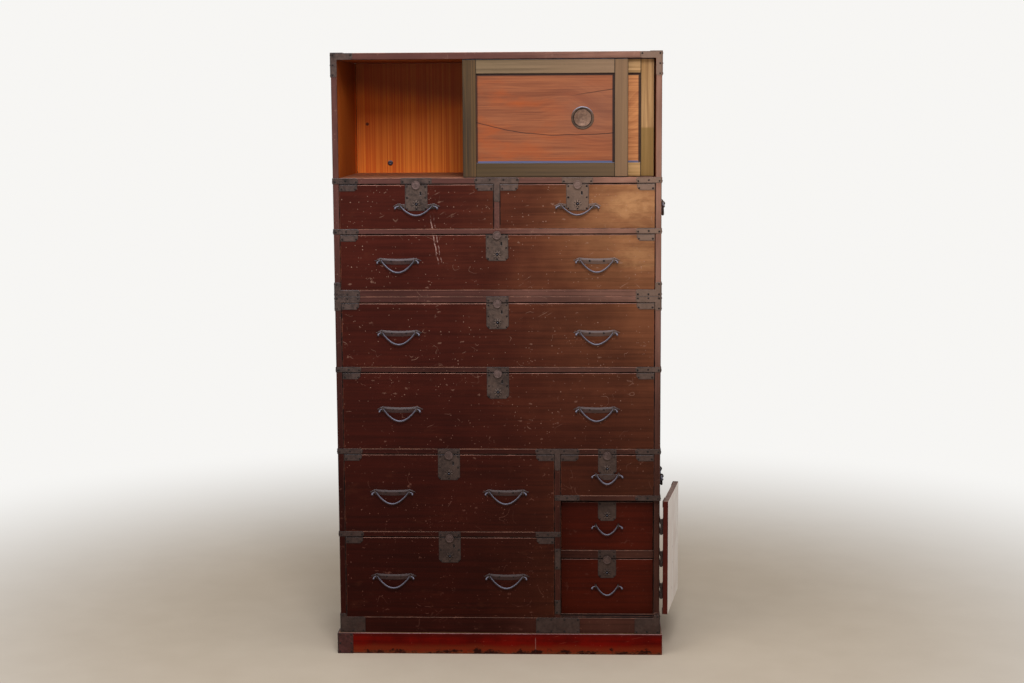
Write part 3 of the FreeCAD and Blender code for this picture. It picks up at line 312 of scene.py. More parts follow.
def drawer_lacquer(name):
    """The drawers' lacquer, with one long pale double scrape down the upper left fronts."""
    f, rough, height = lacquer(name, (43, 8, 3), (66, 23, 15), (108, 58, 38), (132, 83, 54))
    here = f.where()
    x, _, z = f.axes(here)
    sway = (f.noise(f.stretched(here, 0, 0, 16), 1, 3) - 0.5) * 0.022
    off = x + HALF_WIDTH * 0.3755 + sway + (z - SEAM - 0.14) * 0.16
    lines = (abs(off) * 1000).fall(0.6, 2.4).most((abs(off - 9 * MM) * 1000).fall(0.4, 1.8))
    broken = f.noise(here, 60, 4, 0.7).rise(0.42, 0.56)
    scrape = lines * broken * (z - SEAM).rise(0.09, 0.115) * (z - SEAM).fall(0.20, 0.25)
    f.lay(scrape * 0.75, (186, 150, 140))
    return f.surface(rough, height - scrape, 0.3, specular=0.07)


def worn_edge(name, top, front, under_tone_and_shade):
    """A rubbed arris: bare wood in stretches, with a painted highlight along upward faces and painted shade
    underneath and lower down.
    """
    f = Finish(name)
    here = f.where()
    rub = f.noise(here, 24, 5, 0.7)
    fine = f.noise(here, 320, 3)
    lift = f.axes(here)[2].rise(0.1, 1.3)
    up = f.upward()
    bare = (rub * 0.75 + fine * 0.25).rise(0.44, 0.60)
    f.colour = f.mix(bare * 0.7, under_tone_and_shade, front)
    # Painted highlight on upward faces.
    f.lay(up.rise(0.2, 0.5) * (0.5 + bare * 0.5), top)
    # Painted shade on undersides and towards the floor.
    f.lay(up.fall(-0.6, -0.25), under_tone_and_shade)
    f.lay((1 - lift) * 0.48, under_tone_and_shade)
    return f.surface(0.45 + fine * 0.2, fine, 0.2)


def bare_wood(name, pale, dark, along=2.2, across=110, soot=0.35, lip=0, lip_tone=(24, 9, 7)):
    """Unfinished softwood with close straight grain, grime at its edges and a tone over its lip: brushed lacquer
    by default, a painted cool sheen on the bay's ledge.
    """
    f = Finish(name)
    rings = f.noise(f.grain(along, across), 1, 6, 0.68, 0.9)
    broad = f.noise(f.grain(1, 14), 1, 3)
    f.colour = f.mix(rings.rise(0.34, 0.66), dark, pale)
    f.lay(broad.rise(0.4, 0.75) * 0.5, dark)
    grime = f.from_edge(broad, 24).fall(0, 30)
    f.lay(grime * soot, (48, 26, 16))
    if lip:
        depth = (f.axes(f.where())[1] - FRONT) * 1000 + (broad - 0.5) * 8
        f.lay(depth.fall(lip - 4, lip + 2), lip_tone)
    pores = f.noise(f.grain(along * 4, across * 5), 1, 2)
    return f.surface(0.62 + rings * 0.1, rings * 0.6 + pores * 0.4, 0.3)


def compartment_wood():
    """The open compartment's orange softwood: fine upright grain, a knot, painted shade towards top and right and
    on the walls away from the back, and painted light on upward faces.
    """
    f = Finish("compartment_wood")
    here = f.where()
    x, y, z = f.axes(here)
    rings = f.noise(f.grain(1, 230), 1, 1, 0.5, 0.15)
    broad = f.noise(f.grain(1.2, 22), 1, 2)
    f.colour = f.mix(rings.rise(0.30, 0.70), (226, 98, 12), (250, 142, 44))
    f.lay(broad.rise(0.42, 0.72) * 0.10, (190, 84, 14))
    # Painted shadow: the top board's shadow across the upper walls, with shade deepening towards the right.
    height = z - COMPARTMENT_FLOOR
    shade = (height + (x + 0.30) * 0.16 + (broad - 0.5) * 0.03).rise(0.19, 0.27)
    right = (x + 0.30 + height * 0.15).rise(0.10, 0.26) * 0.55
    f.lay(shade.most(right) * 0.70, (104, 28, 0))
    # Painted shade: walls and floor away from the back wall are darker.
    f.lay(y.fall(REAR - 60 * MM, REAR - 20 * MM) * 0.6, (112, 44, 0))
    knot = f.add("ShaderNodeVectorMath", {"operation": "DISTANCE"}, {0: here, 1: KNOT}, "Value") * 1000
    f.lay((knot + (rings - 0.5) * 5).fall(3, 5.5) * 0.9, (42, 18, 8))
    grime = f.from_edge(broad, 24).fall(0, 24)
    f.lay(grime * 0.15, (70, 32, 12))
    # Painted light: upward faces are paler, as if lit from above.
    f.lay(f.upward().rise(0.5, 0.9) * 0.75, (150, 106, 84))
    return f.surface(0.6, rings, 0.3)


def iron(name, light, dark, rust, share=0.4, rough=0.5, metallic=0.2, fade_and_low_shade=0.6, rim=None, brow_highlight=None,
         outline_shade=0):
    """Hammered iron plate under old lacquer: mottled, pitted, browner where it has rusted, faded at the upper
    right, darker lower down as painted shade, with optional painted highlights on tops and brow and painted shade
    beneath and round the outline.
    """
    f = Finish(name)
    here = f.where()
    mottle = f.noise(here, 120, 5, 0.66, 0.4)
    broad = f.noise(here, 22, 3)
    f.colour = f.mix((mottle * 0.6 + broad * 0.4).rise(0.36, 0.64), dark, light)
    f.lay(f.noise(here, 38, 5, 0.7, 0.6).rise(0.50, 0.68) * share, rust)
    # Painted highlight on upward faces and painted shade on undersides.
    if rim:
        f.lay(f.upward().rise(0.2, 0.6), rim)
        f.lay(f.upward().fall(-0.7, -0.2) * 0.8, (16, 12, 12))
    if brow_highlight:
        # Painted highlight: the leaf's upper band is lighter, as if lit from above.
        along, up, _ = f.axes(f.attribute("place"))
        crest = up - LEAF_CREST + (1 - (along / LEAF_BEND) * (along / LEAF_BEND)) * LEAF_SAG
        f.lay((crest * 1000 + (mottle - 0.5) * 3).rise(-5, -3) * 0.8, brow_highlight)
    x, _, z = f.axes(here)
    f.lay(f.fading(x, z) * fade_and_low_shade, (156, 124, 104))
    # Painted shade: darker lower down.
    f.lay(z.fall(0.2, 1.25) * fade_and_low_shade, (44, 24, 19))
    if outline_shade:
        # Painted shade round the plate's outline.
        edge = f.from_edge(mottle, 1.6).fall(0.8, 2.6)
        f.lay(edge * outline_shade, (32, 22, 20))
    pits = f.specks(here, 420, 0.25, 0.35)
    hammered = f.noise(here, 130, 2)
    return f.surface(rough + mottle * 0.22, hammered * 0.5 + mottle * 0.3 - pits * 0.5, 0.35,
                     metallic=metallic)


def frame_wood(name, light, dark, gold, bright=None, edge_sheen=None, low_tone=None):
    """Dark oiled frame wood, streaky, paler towards the right, with cool light on upward edges."""
    f = Finish(name)
    streaks = f.noise(f.grain(2, 120), 1, 5, 0.66, 0.4)
    broad = f.noise(f.grain(3, 18), 1, 3)
    f.colour = f.mix(streaks.rise(0.34, 0.66), dark, light)
    f.lay(broad.rise(0.42, 0.72) * 0.65, gold)
    across, _, height = f.axes(f.where())
    if bright:
        f.lay(across.rise(-0.05, 0.36) * (0.45 + streaks * 0.5), bright)
    if low_tone:
        f.lay(height.fall(STILE_PATCH - 4 * MM, STILE_PATCH + 4 * MM) * 0.8, low_tone)
    edge = f.from_edge(broad, 6).fall(0.3, 2.2)
    f.lay(edge * 0.35, (66, 46, 26))
    fleck = f.specks(f.where(), 260, 0.05, 0.3)
    f.lay(fleck * 0.4, (45, 32, 18))
    if edge_sheen:
        f.lay(f.upward().rise(0.3, 0.7) * 0.8, edge_sheen)
    return f.surface(0.42 + streaks * 0.15, streaks, 0.25, coat=0.05)


def figured_panel(name, dark, light, blush_tone, checked=1):
    """Red-brown panel wood: soft figure, two old checks, painted shadow along the rebate and a painted cool
    reflection along its foot.
    """
    f = Finish(name)
    here = f.where()
    x, y, z = f.axes(here)
    pull = middle_of("front_sliding_door_pull")
    off_x = x - pull.x - 30 * MM
    off_z = z - pull.z - 20 * MM
    near = ((off_x * off_x + off_z * off_z * 1.6) ** 0.5).fall(0.02, 0.16)
    rings = f.noise(f.add("ShaderNodeCombineXYZ", {}, {
        0: x * 2.2, 1: y * 4, 2: z * 52 + near * off_x * 34 + near * 1.6}), 1, 6, 0.66, 0.6)
    fine = f.noise(f.grain(6, 260), 1, 4, 0.65, 0.3)
    f.colour = f.mix((rings * 0.5 + fine * 0.5).rise(0.32, 0.68), dark, light)
    blush = f.noise(f.stretched(here, 5, 3, 14), 1, 4)
    f.lay(blush.rise(0.46, 0.66) * x.fall(-0.02, 0.40) * 0.75, blush_tone)
    f.lay(near * 0.40 * checked, (132, 84, 64))
    bend = f.noise(f.stretched(here, 7, 0, 0), 1, 2) - 0.5
    sag = (x - pull.x + 40 * MM) * (x - pull.x + 40 * MM) * 0.55
    long_check = z - (pull.z - 50 * MM) - bend * 0.016 - sag
    short_check = z - (pull.z + 68 * MM) - (x - pull.x) * 0.17 - bend * 0.008
    checks = (abs(long_check) * 1000).fall(0.5, 1.7).most(
        (abs(short_check) * 1000).fall(0.4, 1.4) * x.rise(pull.x - 0.05, pull.x + 0.03))
    checks = checks * checked
    f.lay(checks * 0.85, (46, 20, 16))
    left, right, top = f.axes(f.attribute("window"))
    # Painted shadow along the rebate at the opening's right, top and left.
    rebate_shadow = (right * 1000).fall(5, 8.5).most((top * 1000).fall(4.5, 8)).most(
        (left * 1000).fall(3, 6) * 0.85)
    f.lay(rebate_shadow * 0.94, (24, 8, 6))
    # Painted cool reflection along the panel's foot.
    foot = f.attribute("foot", "Fac") * 1000
    f.lay(foot.fall(4, 5.5) * rebate_shadow.fall(0.2, 0.6) * 0.85, (72, 98, 142))
    return f.surface(0.45 + fine * 0.2, rings * 0.3 + fine * 0.3 - checks * 1.5, 0.4, coat=0.04)


def base_lacquer(name):
    """Vivid red lacquer, maroon along the top, scuffed and blackened towards the floor."""
    f = Finish(name)
    here = f.where()
    x, _, z = f.axes(here)
    cloud = f.noise(here, 9, 5, 0.62)
    streaks = f.noise(f.grain(2.6, 70), 1, 5, 0.65, 0.5)
    f.colour = f.mix((cloud * 0.6 + streaks * 0.4).rise(0.34, 0.66), (70, 3, 0), (112, 9, 1))
    low = (z * 1000 + (cloud - 0.5) * 24).fall(16, 34)
    f.lay(low * 0.6, (116, 46, 22))
    f.lay((z * 1000).rise(48, 60) * 0.6, (64, 12, 9))
    ragged = f.noise(f.stretched(here, 34, 34, 60), 1, 5, 0.7)
    joint = (abs(x - BASE_JOINT) * 1000).fall(0.6, 1.8) * (z * 1000).fall(46, 54)
    f.lay(joint * 0.5, (150, 104, 96))
    foot = (z * 1000 + (ragged - 0.5) * 60).fall(7, 12)
    f.lay(foot * 0.9, f.mix(ragged.rise(0.4, 0.6), (26, 11, 8), (120, 60, 34)))
    chips = f.specks(here, 190, 0.05, 0.28)
    lines = f.scratches(here, 12, 10, 360, 0.46)
    f.lay(chips.most(lines) * 0.4, (168, 90, 70))
    return f.surface(0.38 + cloud * 0.2, streaks * 0.3 - foot * 0.8 - chips, 0.35, specular=0.06)


def inside_of_door():
    """The open door's inner face: pale bare wood, greyed and rubbed."""
    f = Finish("safe_door_inside")
    here = f.where()
    streaks = f.noise(f.grain(2, 90), 1, 5, 0.66, 0.6)
    cloud = f.noise(here, 11, 4)
    f.colour = f.mix(streaks.rise(0.34, 0.66), (236, 222, 214), (252, 246, 241))
    f.lay(cloud.rise(0.45, 0.7) * 0.4, (218, 198, 188))
    stains = f.specks(here, 60, 0.05, 0.35)
    f.lay(stains * 0.4, (118, 84, 74))
    return f.surface(0.6, streaks, 0.25)


FRONT_LACQUER = drawer_lacquer("drawer_lacquer")
CASE_LACQUER = plain_lacquer("case_lacquer", (44, 10, 5), (91, 57, 52), (122, 74, 58),
                             (158, 116, 98), wear=0.6, brown=0.7, lift=(0.45, 1.6), gilt=0.1)
SIDE_LACQUER = plain_lacquer("side_lacquer", (44, 12, 8), (72, 31, 24), (108, 58, 40),
                             (110, 64, 44), wear=0.7, brown=0.3)
SAFE_LACQUER = plain_lacquer("safe_drawer_lacquer", (60, 11, 1), (78, 21, 8), (80, 32, 16),
                             (92, 44, 30), wear=0.4, brown=0.6, gilt=0)
DOOR_LACQUER = plain_lacquer("safe_door_lacquer", (72, 24, 17), (84, 28, 22), (120, 70, 56),
                             (96, 46, 34), wear=0.6, brown=0.5)
# Rubbed arrises: bare wood and lacquer, with a painted highlight along upward faces and painted shade underneath.
WORN_EDGE_SHEEN_SHADE = worn_edge("worn_edge", (228, 168, 150), (142, 76, 52), (30, 10, 7))
CASE_EDGE_SHEEN_SHADE = worn_edge("case_worn_edge", (190, 132, 110), (110, 58, 42), (26, 11, 8))
BASE_LACQUER = base_lacquer("base_lacquer_finish")
# The base's arrises likewise carry a painted highlight on top and painted shade underneath.
BASE_EDGE_SHEEN_SHADE = worn_edge("base_worn_edge", (214, 168, 176), (120, 50, 34), (90, 18, 10))
INTERIOR = compartment_wood()
CASE_RAW = bare_wood("case_raw_wood", (168, 128, 88), (122, 86, 54), lip=38)
# The bay ledge's lip tone is a painted cool sheen, not lacquer.
BAY_LEDGE_SHEEN = bare_wood("bay_ledge_sheen_wood", (168, 128, 88), (122, 86, 54), lip=38, lip_tone=(186, 156, 172))
RAW_WOOD = bare_wood("raw_wood", (172, 132, 92), (126, 90, 58))
RAW_EDGE = bare_wood("raw_edge", (182, 142, 100), (140, 100, 66), 3, 60)
DOOR_TOP = bare_wood("safe_door_top", (182, 154, 142), (136, 108, 98), 3, 60)
STILE_WOOD = frame_wood("door_stile_wood", (94, 66, 34), (50, 34, 15), (84, 59, 24), (140, 106, 76))
# A lighter copy of the stile wood for the top rail: painted light on the rail.
TOP_RAIL_LIT_WOOD = frame_wood("door_top_rail_lit_wood", (126, 102, 74), (88, 70, 46), (112, 90, 58),
                           (146, 114, 88))
LOW_RAIL_WOOD = frame_wood("door_low_rail_wood", (84, 62, 36), (42, 30, 15), (78, 58, 26), (100, 76, 50))
REAR_STILE_WOOD = frame_wood("rear_door_stile_wood", (192, 148, 98), (132, 94, 54),
                             (166, 120, 62), low_tone=(126, 94, 40))
REAR_RAIL_WOOD = frame_wood("rear_door_rail_wood", (198, 154, 104), (150, 112, 66), (176, 134, 80))
FRAME_EDGE = frame_wood("door_frame_edge", (76, 58, 36), (36, 26, 15), (64, 46, 24),
                        edge_sheen=(122, 138, 176))
PANEL_WOOD = figured_panel("panel_wood", (118, 59, 32), (160, 93, 56), (174, 78, 18))
REAR_PANEL_WOOD = figured_panel("rear_panel_wood", (160, 91, 50), (211, 141, 84), (196, 120, 66), checked=0)
DOOR_INSIDE = inside_of_door()
PLATE_IRON = iron("plate_iron_finish", (88, 69, 63), (46, 35, 32), (76, 46, 38), outline_shade=0.6)
LOCK_IRON = iron("lock_iron", (90, 72, 64), (48, 37, 33), (76, 54, 42), 0.3, outline_shade=0.6)
# This finish and the next carry a painted highlight on upward faces and painted shade on undersides.
IRON_RIM_SHEEN_SHADE = iron("iron_rim_sheen_shade", (92, 80, 76), (52, 43, 42), (80, 54, 46), 0.25, 0.4, 0.25, rim=(150, 142, 148))
HANDLE_IRON_SHEEN_SHADE = iron("handle_iron_sheen_shade", (90, 84, 94), (40, 36, 40), (54, 38, 34), 0.2, 0.42,
                   0.3, 0.2, rim=(134, 133, 152))
WASHER_IRON = iron("washer_iron", (116, 98, 90), (70, 56, 50), (86, 60, 46), 0.3, 0.4, 0.3)
DISC_IRON = iron("button_iron_finish", (108, 86, 82), (68, 52, 49), (90, 62, 52), 0.25, 0.42, fade_and_low_shade=0.4)
# The leaf's finish carries a painted highlight along its upper band.
LEAF_IRON_SHEEN = iron("leaf_iron_sheen", (68, 44, 40), (44, 26, 24), (60, 34, 28), 0.3, fade_and_low_shade=0.5,
                 brow_highlight=(118, 108, 112))
# A near-black finish that stands for shade: behind keyholes, in washer slits and in the pull's groove.
SHADE_FILL = iron("shade_gap", (20, 14, 13), (9, 6, 6), (20, 12, 10), fade_and_low_shade=0)
NAIL_IRON = iron("nail_iron", (44, 33, 31), (18, 12, 11), (36, 22, 18), 0.25, 0.45, fade_and_low_shade=0)
BASE_IRON = iron("base_corner_iron", (88, 46, 44), (52, 20, 18), (80, 36, 24), fade_and_low_shade=0.15, outline_shade=0.5)
PULL_BRONZE = iron("pull_bronze_finish", (142, 110, 92), (94, 70, 58), (116, 82, 60), 0.3, 0.34, 0.5, 0)
PULL_SHADE = iron("pull_inner_rim", (104, 80, 64), (58, 43, 36), (84, 60, 44), 0.25, 0.4, 0.3, 0)
SIDE_IRON = iron("side_iron", (44, 35, 33), (20, 15, 14), (36, 24, 20), fade_and_low_shade=0.2)
# The pull rim's finish carries a painted highlight on upward faces and painted shade on undersides.
PULL_RIM_SHEEN_SHADE = iron("pull_rim_sheen_shade", (116, 90, 72), (52, 38, 32), (84, 60, 44), 0.25, 0.34, 0.4,
                0, (160, 168, 190))


# Widths of the rubbed arrises

ARRIS_ANGLE = math.radians(40)
CASE_ARRIS = 1.2 * MM
BASE_ARRIS = 1.4 * MM
FRONT_ARRIS = 1.6 * MM
BOARD_ARRIS = 0.6 * MM
DOOR_ARRIS = 1 * MM
PLATE_ARRIS = 0.7 * MM


# Solids of a CAD node, each as its own welded mesh

class Solid:
    """One closed solid: welded points and triangles."""

    def __init__(self, points, faces):
        self.points = points
        self.faces = faces
        self.low = Vector(map(min, *points))
        self.high = Vector(map(max, *points))
        self.size = self.high - self.low
        self.middle = (self.high + self.low) / 2


def solids_of(node):
    """Joins a node's loose triangles into solids, across each edge that exactly two of them share."""
    mesh = nodes[node].data
    keys = [tuple(round(c * 1e6) for c in v.co) for v in mesh.vertices]
    faces = [tuple(keys[i] for i in polygon.vertices) for polygon in mesh.polygons]
    faces = [face for face in faces if len(set(face)) == 3]
    owners = {}
    for index, face in enumerate(faces):
        for a, b in zip(face, face[1:] + face[:1]):
            owners.setdefault((a, b), []).append(index)
    group = list(range(len(faces)))

    def root(index):
        while group[index] != index:
            group[index] = group[group[index]]
            index = group[index]
        return index

    for (a, b), here in owners.items():
        there = owners.get((b, a), [])
        if len(here) == 1 and len(there) == 1:
            group[root(here[0])] = root(there[0])
    gathered = {}
    for index, face in enumerate(faces):
        gathered.setdefault(root(index), []).append(face)
    solids = []
    for members in gathered.values():
        order = {key: n for n, key in enumerate(dict.fromkeys(k for face in members for k in face))}
        solids.append(Solid([Vector(key) * 1e-6 for key in order],
                            [tuple(order[k] for k in face) for face in members]))
    return sorted(solids, key=lambda s: tuple(s.low) + tuple(s.high))


def add_solid(bm, solid, slot_of, upright=False):
    """Adds a solid to a mesh with its flat faces whole, its own coordinates and a slot for each face."""
    lead = 2 if upright else max(range(3), key=lambda k: solid.size[k])
    rest = sorted((k for k in range(3) if k != lead), key=lambda k: -solid.size[k])
    order = (lead, *rest)
    seed = random.Random(repr([round(v, 4) for v in (*solid.low, *solid.high)])).random() * 10
    vectors, numbers = bm.verts.layers.float_vector, bm.verts.layers.float
    place, half, seeds = (layer.get(name) or layer.new(name) for layer, name in (
        (vectors, "place"), (vectors, "half"), (numbers, "seed")))
    made = []
    for point in solid.points:
        vertex = bm.verts.new(point)
        local = point - solid.middle
        vertex[place] = Vector([local[k] for k in order])
        vertex[half] = Vector([solid.size[k] / 2 for k in order])
        vertex[seeds] = seed
        made.append(vertex)
    faces = [bm.faces.new([made[i] for i in face]) for face in solid.faces]
    bm.normal_update()
    edges = list(dict.fromkeys(edge for face in faces for edge in face.edges))
    found = bmesh.ops.dissolve_limit(bm, angle_limit=math.radians(1), verts=made, edges=edges)
    bm.normal_update()
    for face in (*found["region"], *(face for face in faces if face.is_valid)):
        face.material_index = slot_of(face)


def placed(name, data):
    """Puts a new object in the scene."""
    thing = bpy.data.objects.new(name, data)
    bpy.context.scene.collection.objects.link(thing)
    return thing


def plain_mesh(carrier):
    """An object's finished mesh. The object itself goes."""
    mesh = bpy.data.meshes.new_from_object(carrier.evaluated_get(bpy.context.evaluated_depsgraph_get()))
    bpy.data.objects.remove(carrier)
    return mesh


def made_piece(name, bm, body, finishes, bevel=0, edge_slot=-1, segments=2, smooth=False):
    """Turns a mesh in the making into a piece that rides on its body."""
    mesh = bpy.data.meshes.new(name)
    bm.to_mesh(mesh)
    bm.free()
    for finish in finishes:
        mesh.materials.append(finish)
    if smooth:
        mesh.shade_smooth()
    piece = placed(name, mesh)
    if bevel:
        modifier = piece.modifiers.new("arris", "BEVEL")
        modifier.width = bevel
        modifier.segments = segments
        modifier.limit_method = "ANGLE"
        modifier.angle_limit = ARRIS_ANGLE
        modifier.material = edge_slot
        modifier.use_clamp_overlap = True
    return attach(piece, body)


# Wooden parts

def facing(face, axis, sign):
    return face.normal[axis] * sign > SQUARE_ON


def dress_case(node):
    """Carcass boards: lacquered where they show from outside, bare inside."""
    bm = bmesh.new()
    is_upper = node == "upper_case"
    bay_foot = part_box("safe_drawer_low_box")[0].z + 2 * HAIR

    def slot_of(face):
        centre = face.calc_center_median()
        if facing(face, 1, -1) and centre.y < FRONT + INNER_DEPTH:
            return 0
        if abs(centre.x) > HALF_WIDTH - HAIR / 2 or facing(face, 2, 1) and centre.z > CHEST_TOP - HAIR:
            return 1
        if not is_upper and facing(face, 2, 1) and centre.z < bay_foot and centre.x > BASE_JOINT:
            return 5
        inside = is_upper and centre.z > COMPARTMENT_FLOOR - FLOOR_BOARD and centre.y < REAR - HAIR
        return 3 if inside else 2

    for solid in solids_of(node):
        add_solid(bm, solid, slot_of, upright=solid.low.y > REAR - BACK_BOARD)
    piece = made_piece(node + "_wood", bm, body_of[node],
                       [CASE_LACQUER, SIDE_LACQUER, CASE_RAW, INTERIOR, CASE_EDGE_SHEEN_SHADE, BAY_LEDGE_SHEEN], CASE_ARRIS, 4)
    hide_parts(node)


def dress_base():
    bm = bmesh.new()
    for solid in solids_of("base_plinth"):
        add_solid(bm, solid, lambda face: 1 if abs(face.normal.z) > SQUARE_ON else 0)
    piece = made_piece("base_plinth_wood", bm, "lower_chest", [BASE_LACQUER, RAW_WOOD, BASE_EDGE_SHEEN_SHADE],
                       BASE_ARRIS, 2)
    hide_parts("base_plinth")


def dress_drawer(name):
    """A drawer's boards: a lacquered front and a bare box behind it."""
    node = name + "_box"
    front_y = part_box(node)[0].y
    fronts = bmesh.new()
    boards = bmesh.new()
    for solid in solids_of(node):
        if solid.low.y < front_y + HAIR:
            for point in solid.points:
                point.z = min(point.z, solid.high.z - FRONT_EASE)
            add_solid(fronts, solid, lambda face: 1 if facing(face, 1, 1) else 0)
        else:
            add_solid(boards, solid, lambda face: 0)
    lacquered = SAFE_LACQUER if name.startswith("safe") else FRONT_LACQUER
    piece = made_piece(name + "_front", fronts, name, [lacquered, RAW_WOOD, WORN_EDGE_SHEEN_SHADE], FRONT_ARRIS, 2, 3)
    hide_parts(node)
    made_piece(name + "_boards", boards, name, [RAW_WOOD, RAW_EDGE], BOARD_ARRIS, 1)


def dress_sliding_door(name, stile_wood, top_wood, low_wood, panel_wood):
    """Stiles, rails and panel. The panel knows how far each point lies from the edges of its opening."""
    solids = solids_of(name)
    thick = [solid for solid in solids if solid.size.y >= LEAST_STILE]
    stiles = [solid for solid in thick if solid.size.z > solid.size.x]
    rails = [solid for solid in thick if solid.size.x > solid.size.z]
    opening_left = min(solid.high.x for solid in stiles)
    opening_right = max(solid.low.x for solid in stiles)
    opening_foot = min(solid.high.z for solid in rails)
    opening_top = max(solid.low.z for solid in rails)
    frame_mesh = bmesh.new()
    for solid in thick:
        number = 0 if solid in stiles else 1 if solid.low.z > opening_foot else 2
        add_solid(frame_mesh, solid, lambda face, number=number: number)
    piece = made_piece(name + "_frame", frame_mesh, name, [stile_wood, top_wood, low_wood, FRAME_EDGE],
                       CASE_ARRIS, 3, 3)
    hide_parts(name)
    panel_mesh = bmesh.new()
    for solid in solids:
        if solid not in thick:
            add_solid(panel_mesh, solid, lambda face: 0)
    # These attributes place the panel's painted rebate shadow and its painted cool reflection along the foot.
    window = panel_mesh.verts.layers.float_vector.new("window")
    foot = panel_mesh.verts.layers.float.new("foot")
    for vertex in panel_mesh.verts:
        x, _, z = vertex.co
        vertex[window] = Vector((x - opening_left, opening_right - x, opening_top - z))
        vertex[foot] = z - opening_foot
    panel = made_piece(name + "_panel", panel_mesh, name, [panel_wood])


def dress_safe_door():
    bm = bmesh.new()
    solid = solids_of("safe_door")[0]
    outward = Vector((math.copysign(1, middle_of("safe_door_ironwork").x - solid.middle.x), 0, 0))

    def slot_of(face):
        if face.normal.dot(outward) < -SQUARE_ON:
            return 1
        return 2 if abs(face.normal.z) > SQUARE_ON else 0

    add_solid(bm, solid, slot_of, upright=True)
    piece = made_piece("safe_door_board", bm, "safe_door", [DOOR_LACQUER, DOOR_INSIDE, DOOR_TOP, WORN_EDGE_SHEEN_SHADE],
                       DOOR_ARRIS, 3)
    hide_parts("safe_door")


# Ironwork

BOLT_HEAD = ((0, 0), (1, 0), (1, 0.8), (0.86, 2.6), (0.56, 3.9), (0.34, 4), (0.28, 3), (0, 2.6))
DISC_FACE = ((0, 0), (0.9, 0), (1, 0.5), (1, 1.9), (0.95, 2.6), (0.88, 2.9), (0.8, 2.6), (0.76, 2),
             (0.68, 1.9), (0.6, 2.3), (0.3, 2.7), (0, 2.8))
PETALS = 8
WASHER_RINGS = ((1, 0, 1), (1, 0.7, 1), (0.86, 1.3, 0.9), (0.6, 0.7, 0.3), (0.52, 1.5, 0), (0.42, 1.3, 0),
                (0.4, 0, 0))
SHAFT_DROP = 8 * MM
DISC_DEPTH = 3 * MM
WASHER_SIZE = 24 * MM
PIN_SIZE = 4.5 * MM
BOLT_SIZE = 17 * MM
LEAF_WIDTH = 136 * MM
THICKEST_PLATE = 2 * MM
LEAST_LOCK = 50 * MM
LOCK_WIDTHS = (54 * MM, 65 * MM)
LOCK_CLIP = 10 * MM


def is_about(solid, size, room=1.2 * MM):
    """Whether a solid is about this wide and this high."""
    return abs(solid.size.x - size) < room and abs(solid.size.z - size) < room


def is_pin(solid):
    return max(solid.size.x, solid.size.z) < PIN_SIZE and solid.size.y > 4 * MM


def is_leaf(solid):
    return solid.size.y < THICKEST_PLATE and abs(solid.size.x - LEAF_WIDTH) < 2 * MM


def is_lock_plate(solid):
    return (solid.size.y < THICKEST_PLATE and solid.size.z > LEAST_LOCK
            and any(abs(solid.size.x - width) < HAIR / 2 for width in LOCK_WIDTHS))


def is_bolt(solid):
    return solid.size.y < 6 * MM and is_about(solid, BOLT_SIZE)


def bay_rail_plate():
    """The thin plate that carries the bay's low drawer's lock up over the rail above it."""
    lock = next(solid for solid in solids_of("safe_drawer_low_ironwork") if is_lock_plate(solid))
    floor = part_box("safe_drawer_low_box")[1].z
    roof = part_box("safe_drawer_high_box")[0].z
    rails = [solid for solid in solids_of("lower_case")
             if floor - 2 * HAIR < solid.low.z and solid.high.z < roof + 2 * HAIR
             and solid.low.x > BASE_JOINT]
    rail = min(rails, key=lambda solid: solid.low.y)
    ends = ((lock.low.x, lock.high.x), (rail.low.y - HAIR, rail.low.y + SURFACE_GAP),
            (rail.low.z, rail.high.z))
    points = [Vector((ends[0][k & 1], ends[1][k >> 1 & 1], ends[2][k >> 2])) for k in range(8)]
    sides = ((0, 4, 6, 2), (1, 3, 7, 5), (0, 1, 5, 4), (2, 6, 7, 3), (0, 2, 3, 1), (4, 5, 7, 6))
    return Solid(points, [tri for a, b, c, d in sides for tri in ((a, b, c), (a, c, d))])


def soot_behind(bm, plate):
    """A dark sheet of painted shade behind a lock plate, seen through its keyhole and thumb slot."""
    inset = 3 * MM
    y = plate.high.y - SURFACE_GAP
    left, right = plate.low.x + inset, plate.high.x - inset
    low, high = plate.low.z + LOCK_CLIP, plate.high.z - inset
    face = bm.faces.new([bm.verts.new((x, y, z)) for x, z in ((left, low), (right, low), (right, high),
                                                              (left, high))])
    face.material_index = 1


def ring(bm, centre, forward, radii):
    """Points about an axis along Y, one for each radius, some millimetres forward of the centre."""
    turn = 2 * math.pi / len(radii)
    return [bm.verts.new((centre.x + radius * math.sin(turn * k), centre.y - forward * MM,
                          centre.z + radius * math.cos(turn * k))) for k, radius in enumerate(radii)]


def petal_washer(bm, centre):
    """A keyhole washer like a flower of eight petals with slits of painted shade between, round a raised lip."""
    steps = PETALS * 6
    valleys = [1 - abs(math.cos(math.pi * PETALS * k / steps)) ** 0.6 for k in range(steps)]
    rings = [ring(bm, centre, out, [WASHER_SIZE / 2 * share * (1 - scallop * 0.26 * v) for v in valleys])
             for share, out, scallop in WASHER_RINGS]
    for band, (inner, outer) in enumerate(zip(rings, rings[1:])):
        for k in range(steps):
            j = (k + 1) % steps
            face = bm.faces.new((inner[k], inner[j], outer[j], outer[k]))
            lobe = abs(math.cos(math.pi * PETALS * (k + 0.5) / steps))
            face.material_index = 1 if band < 3 and lobe < 0.5 else 0


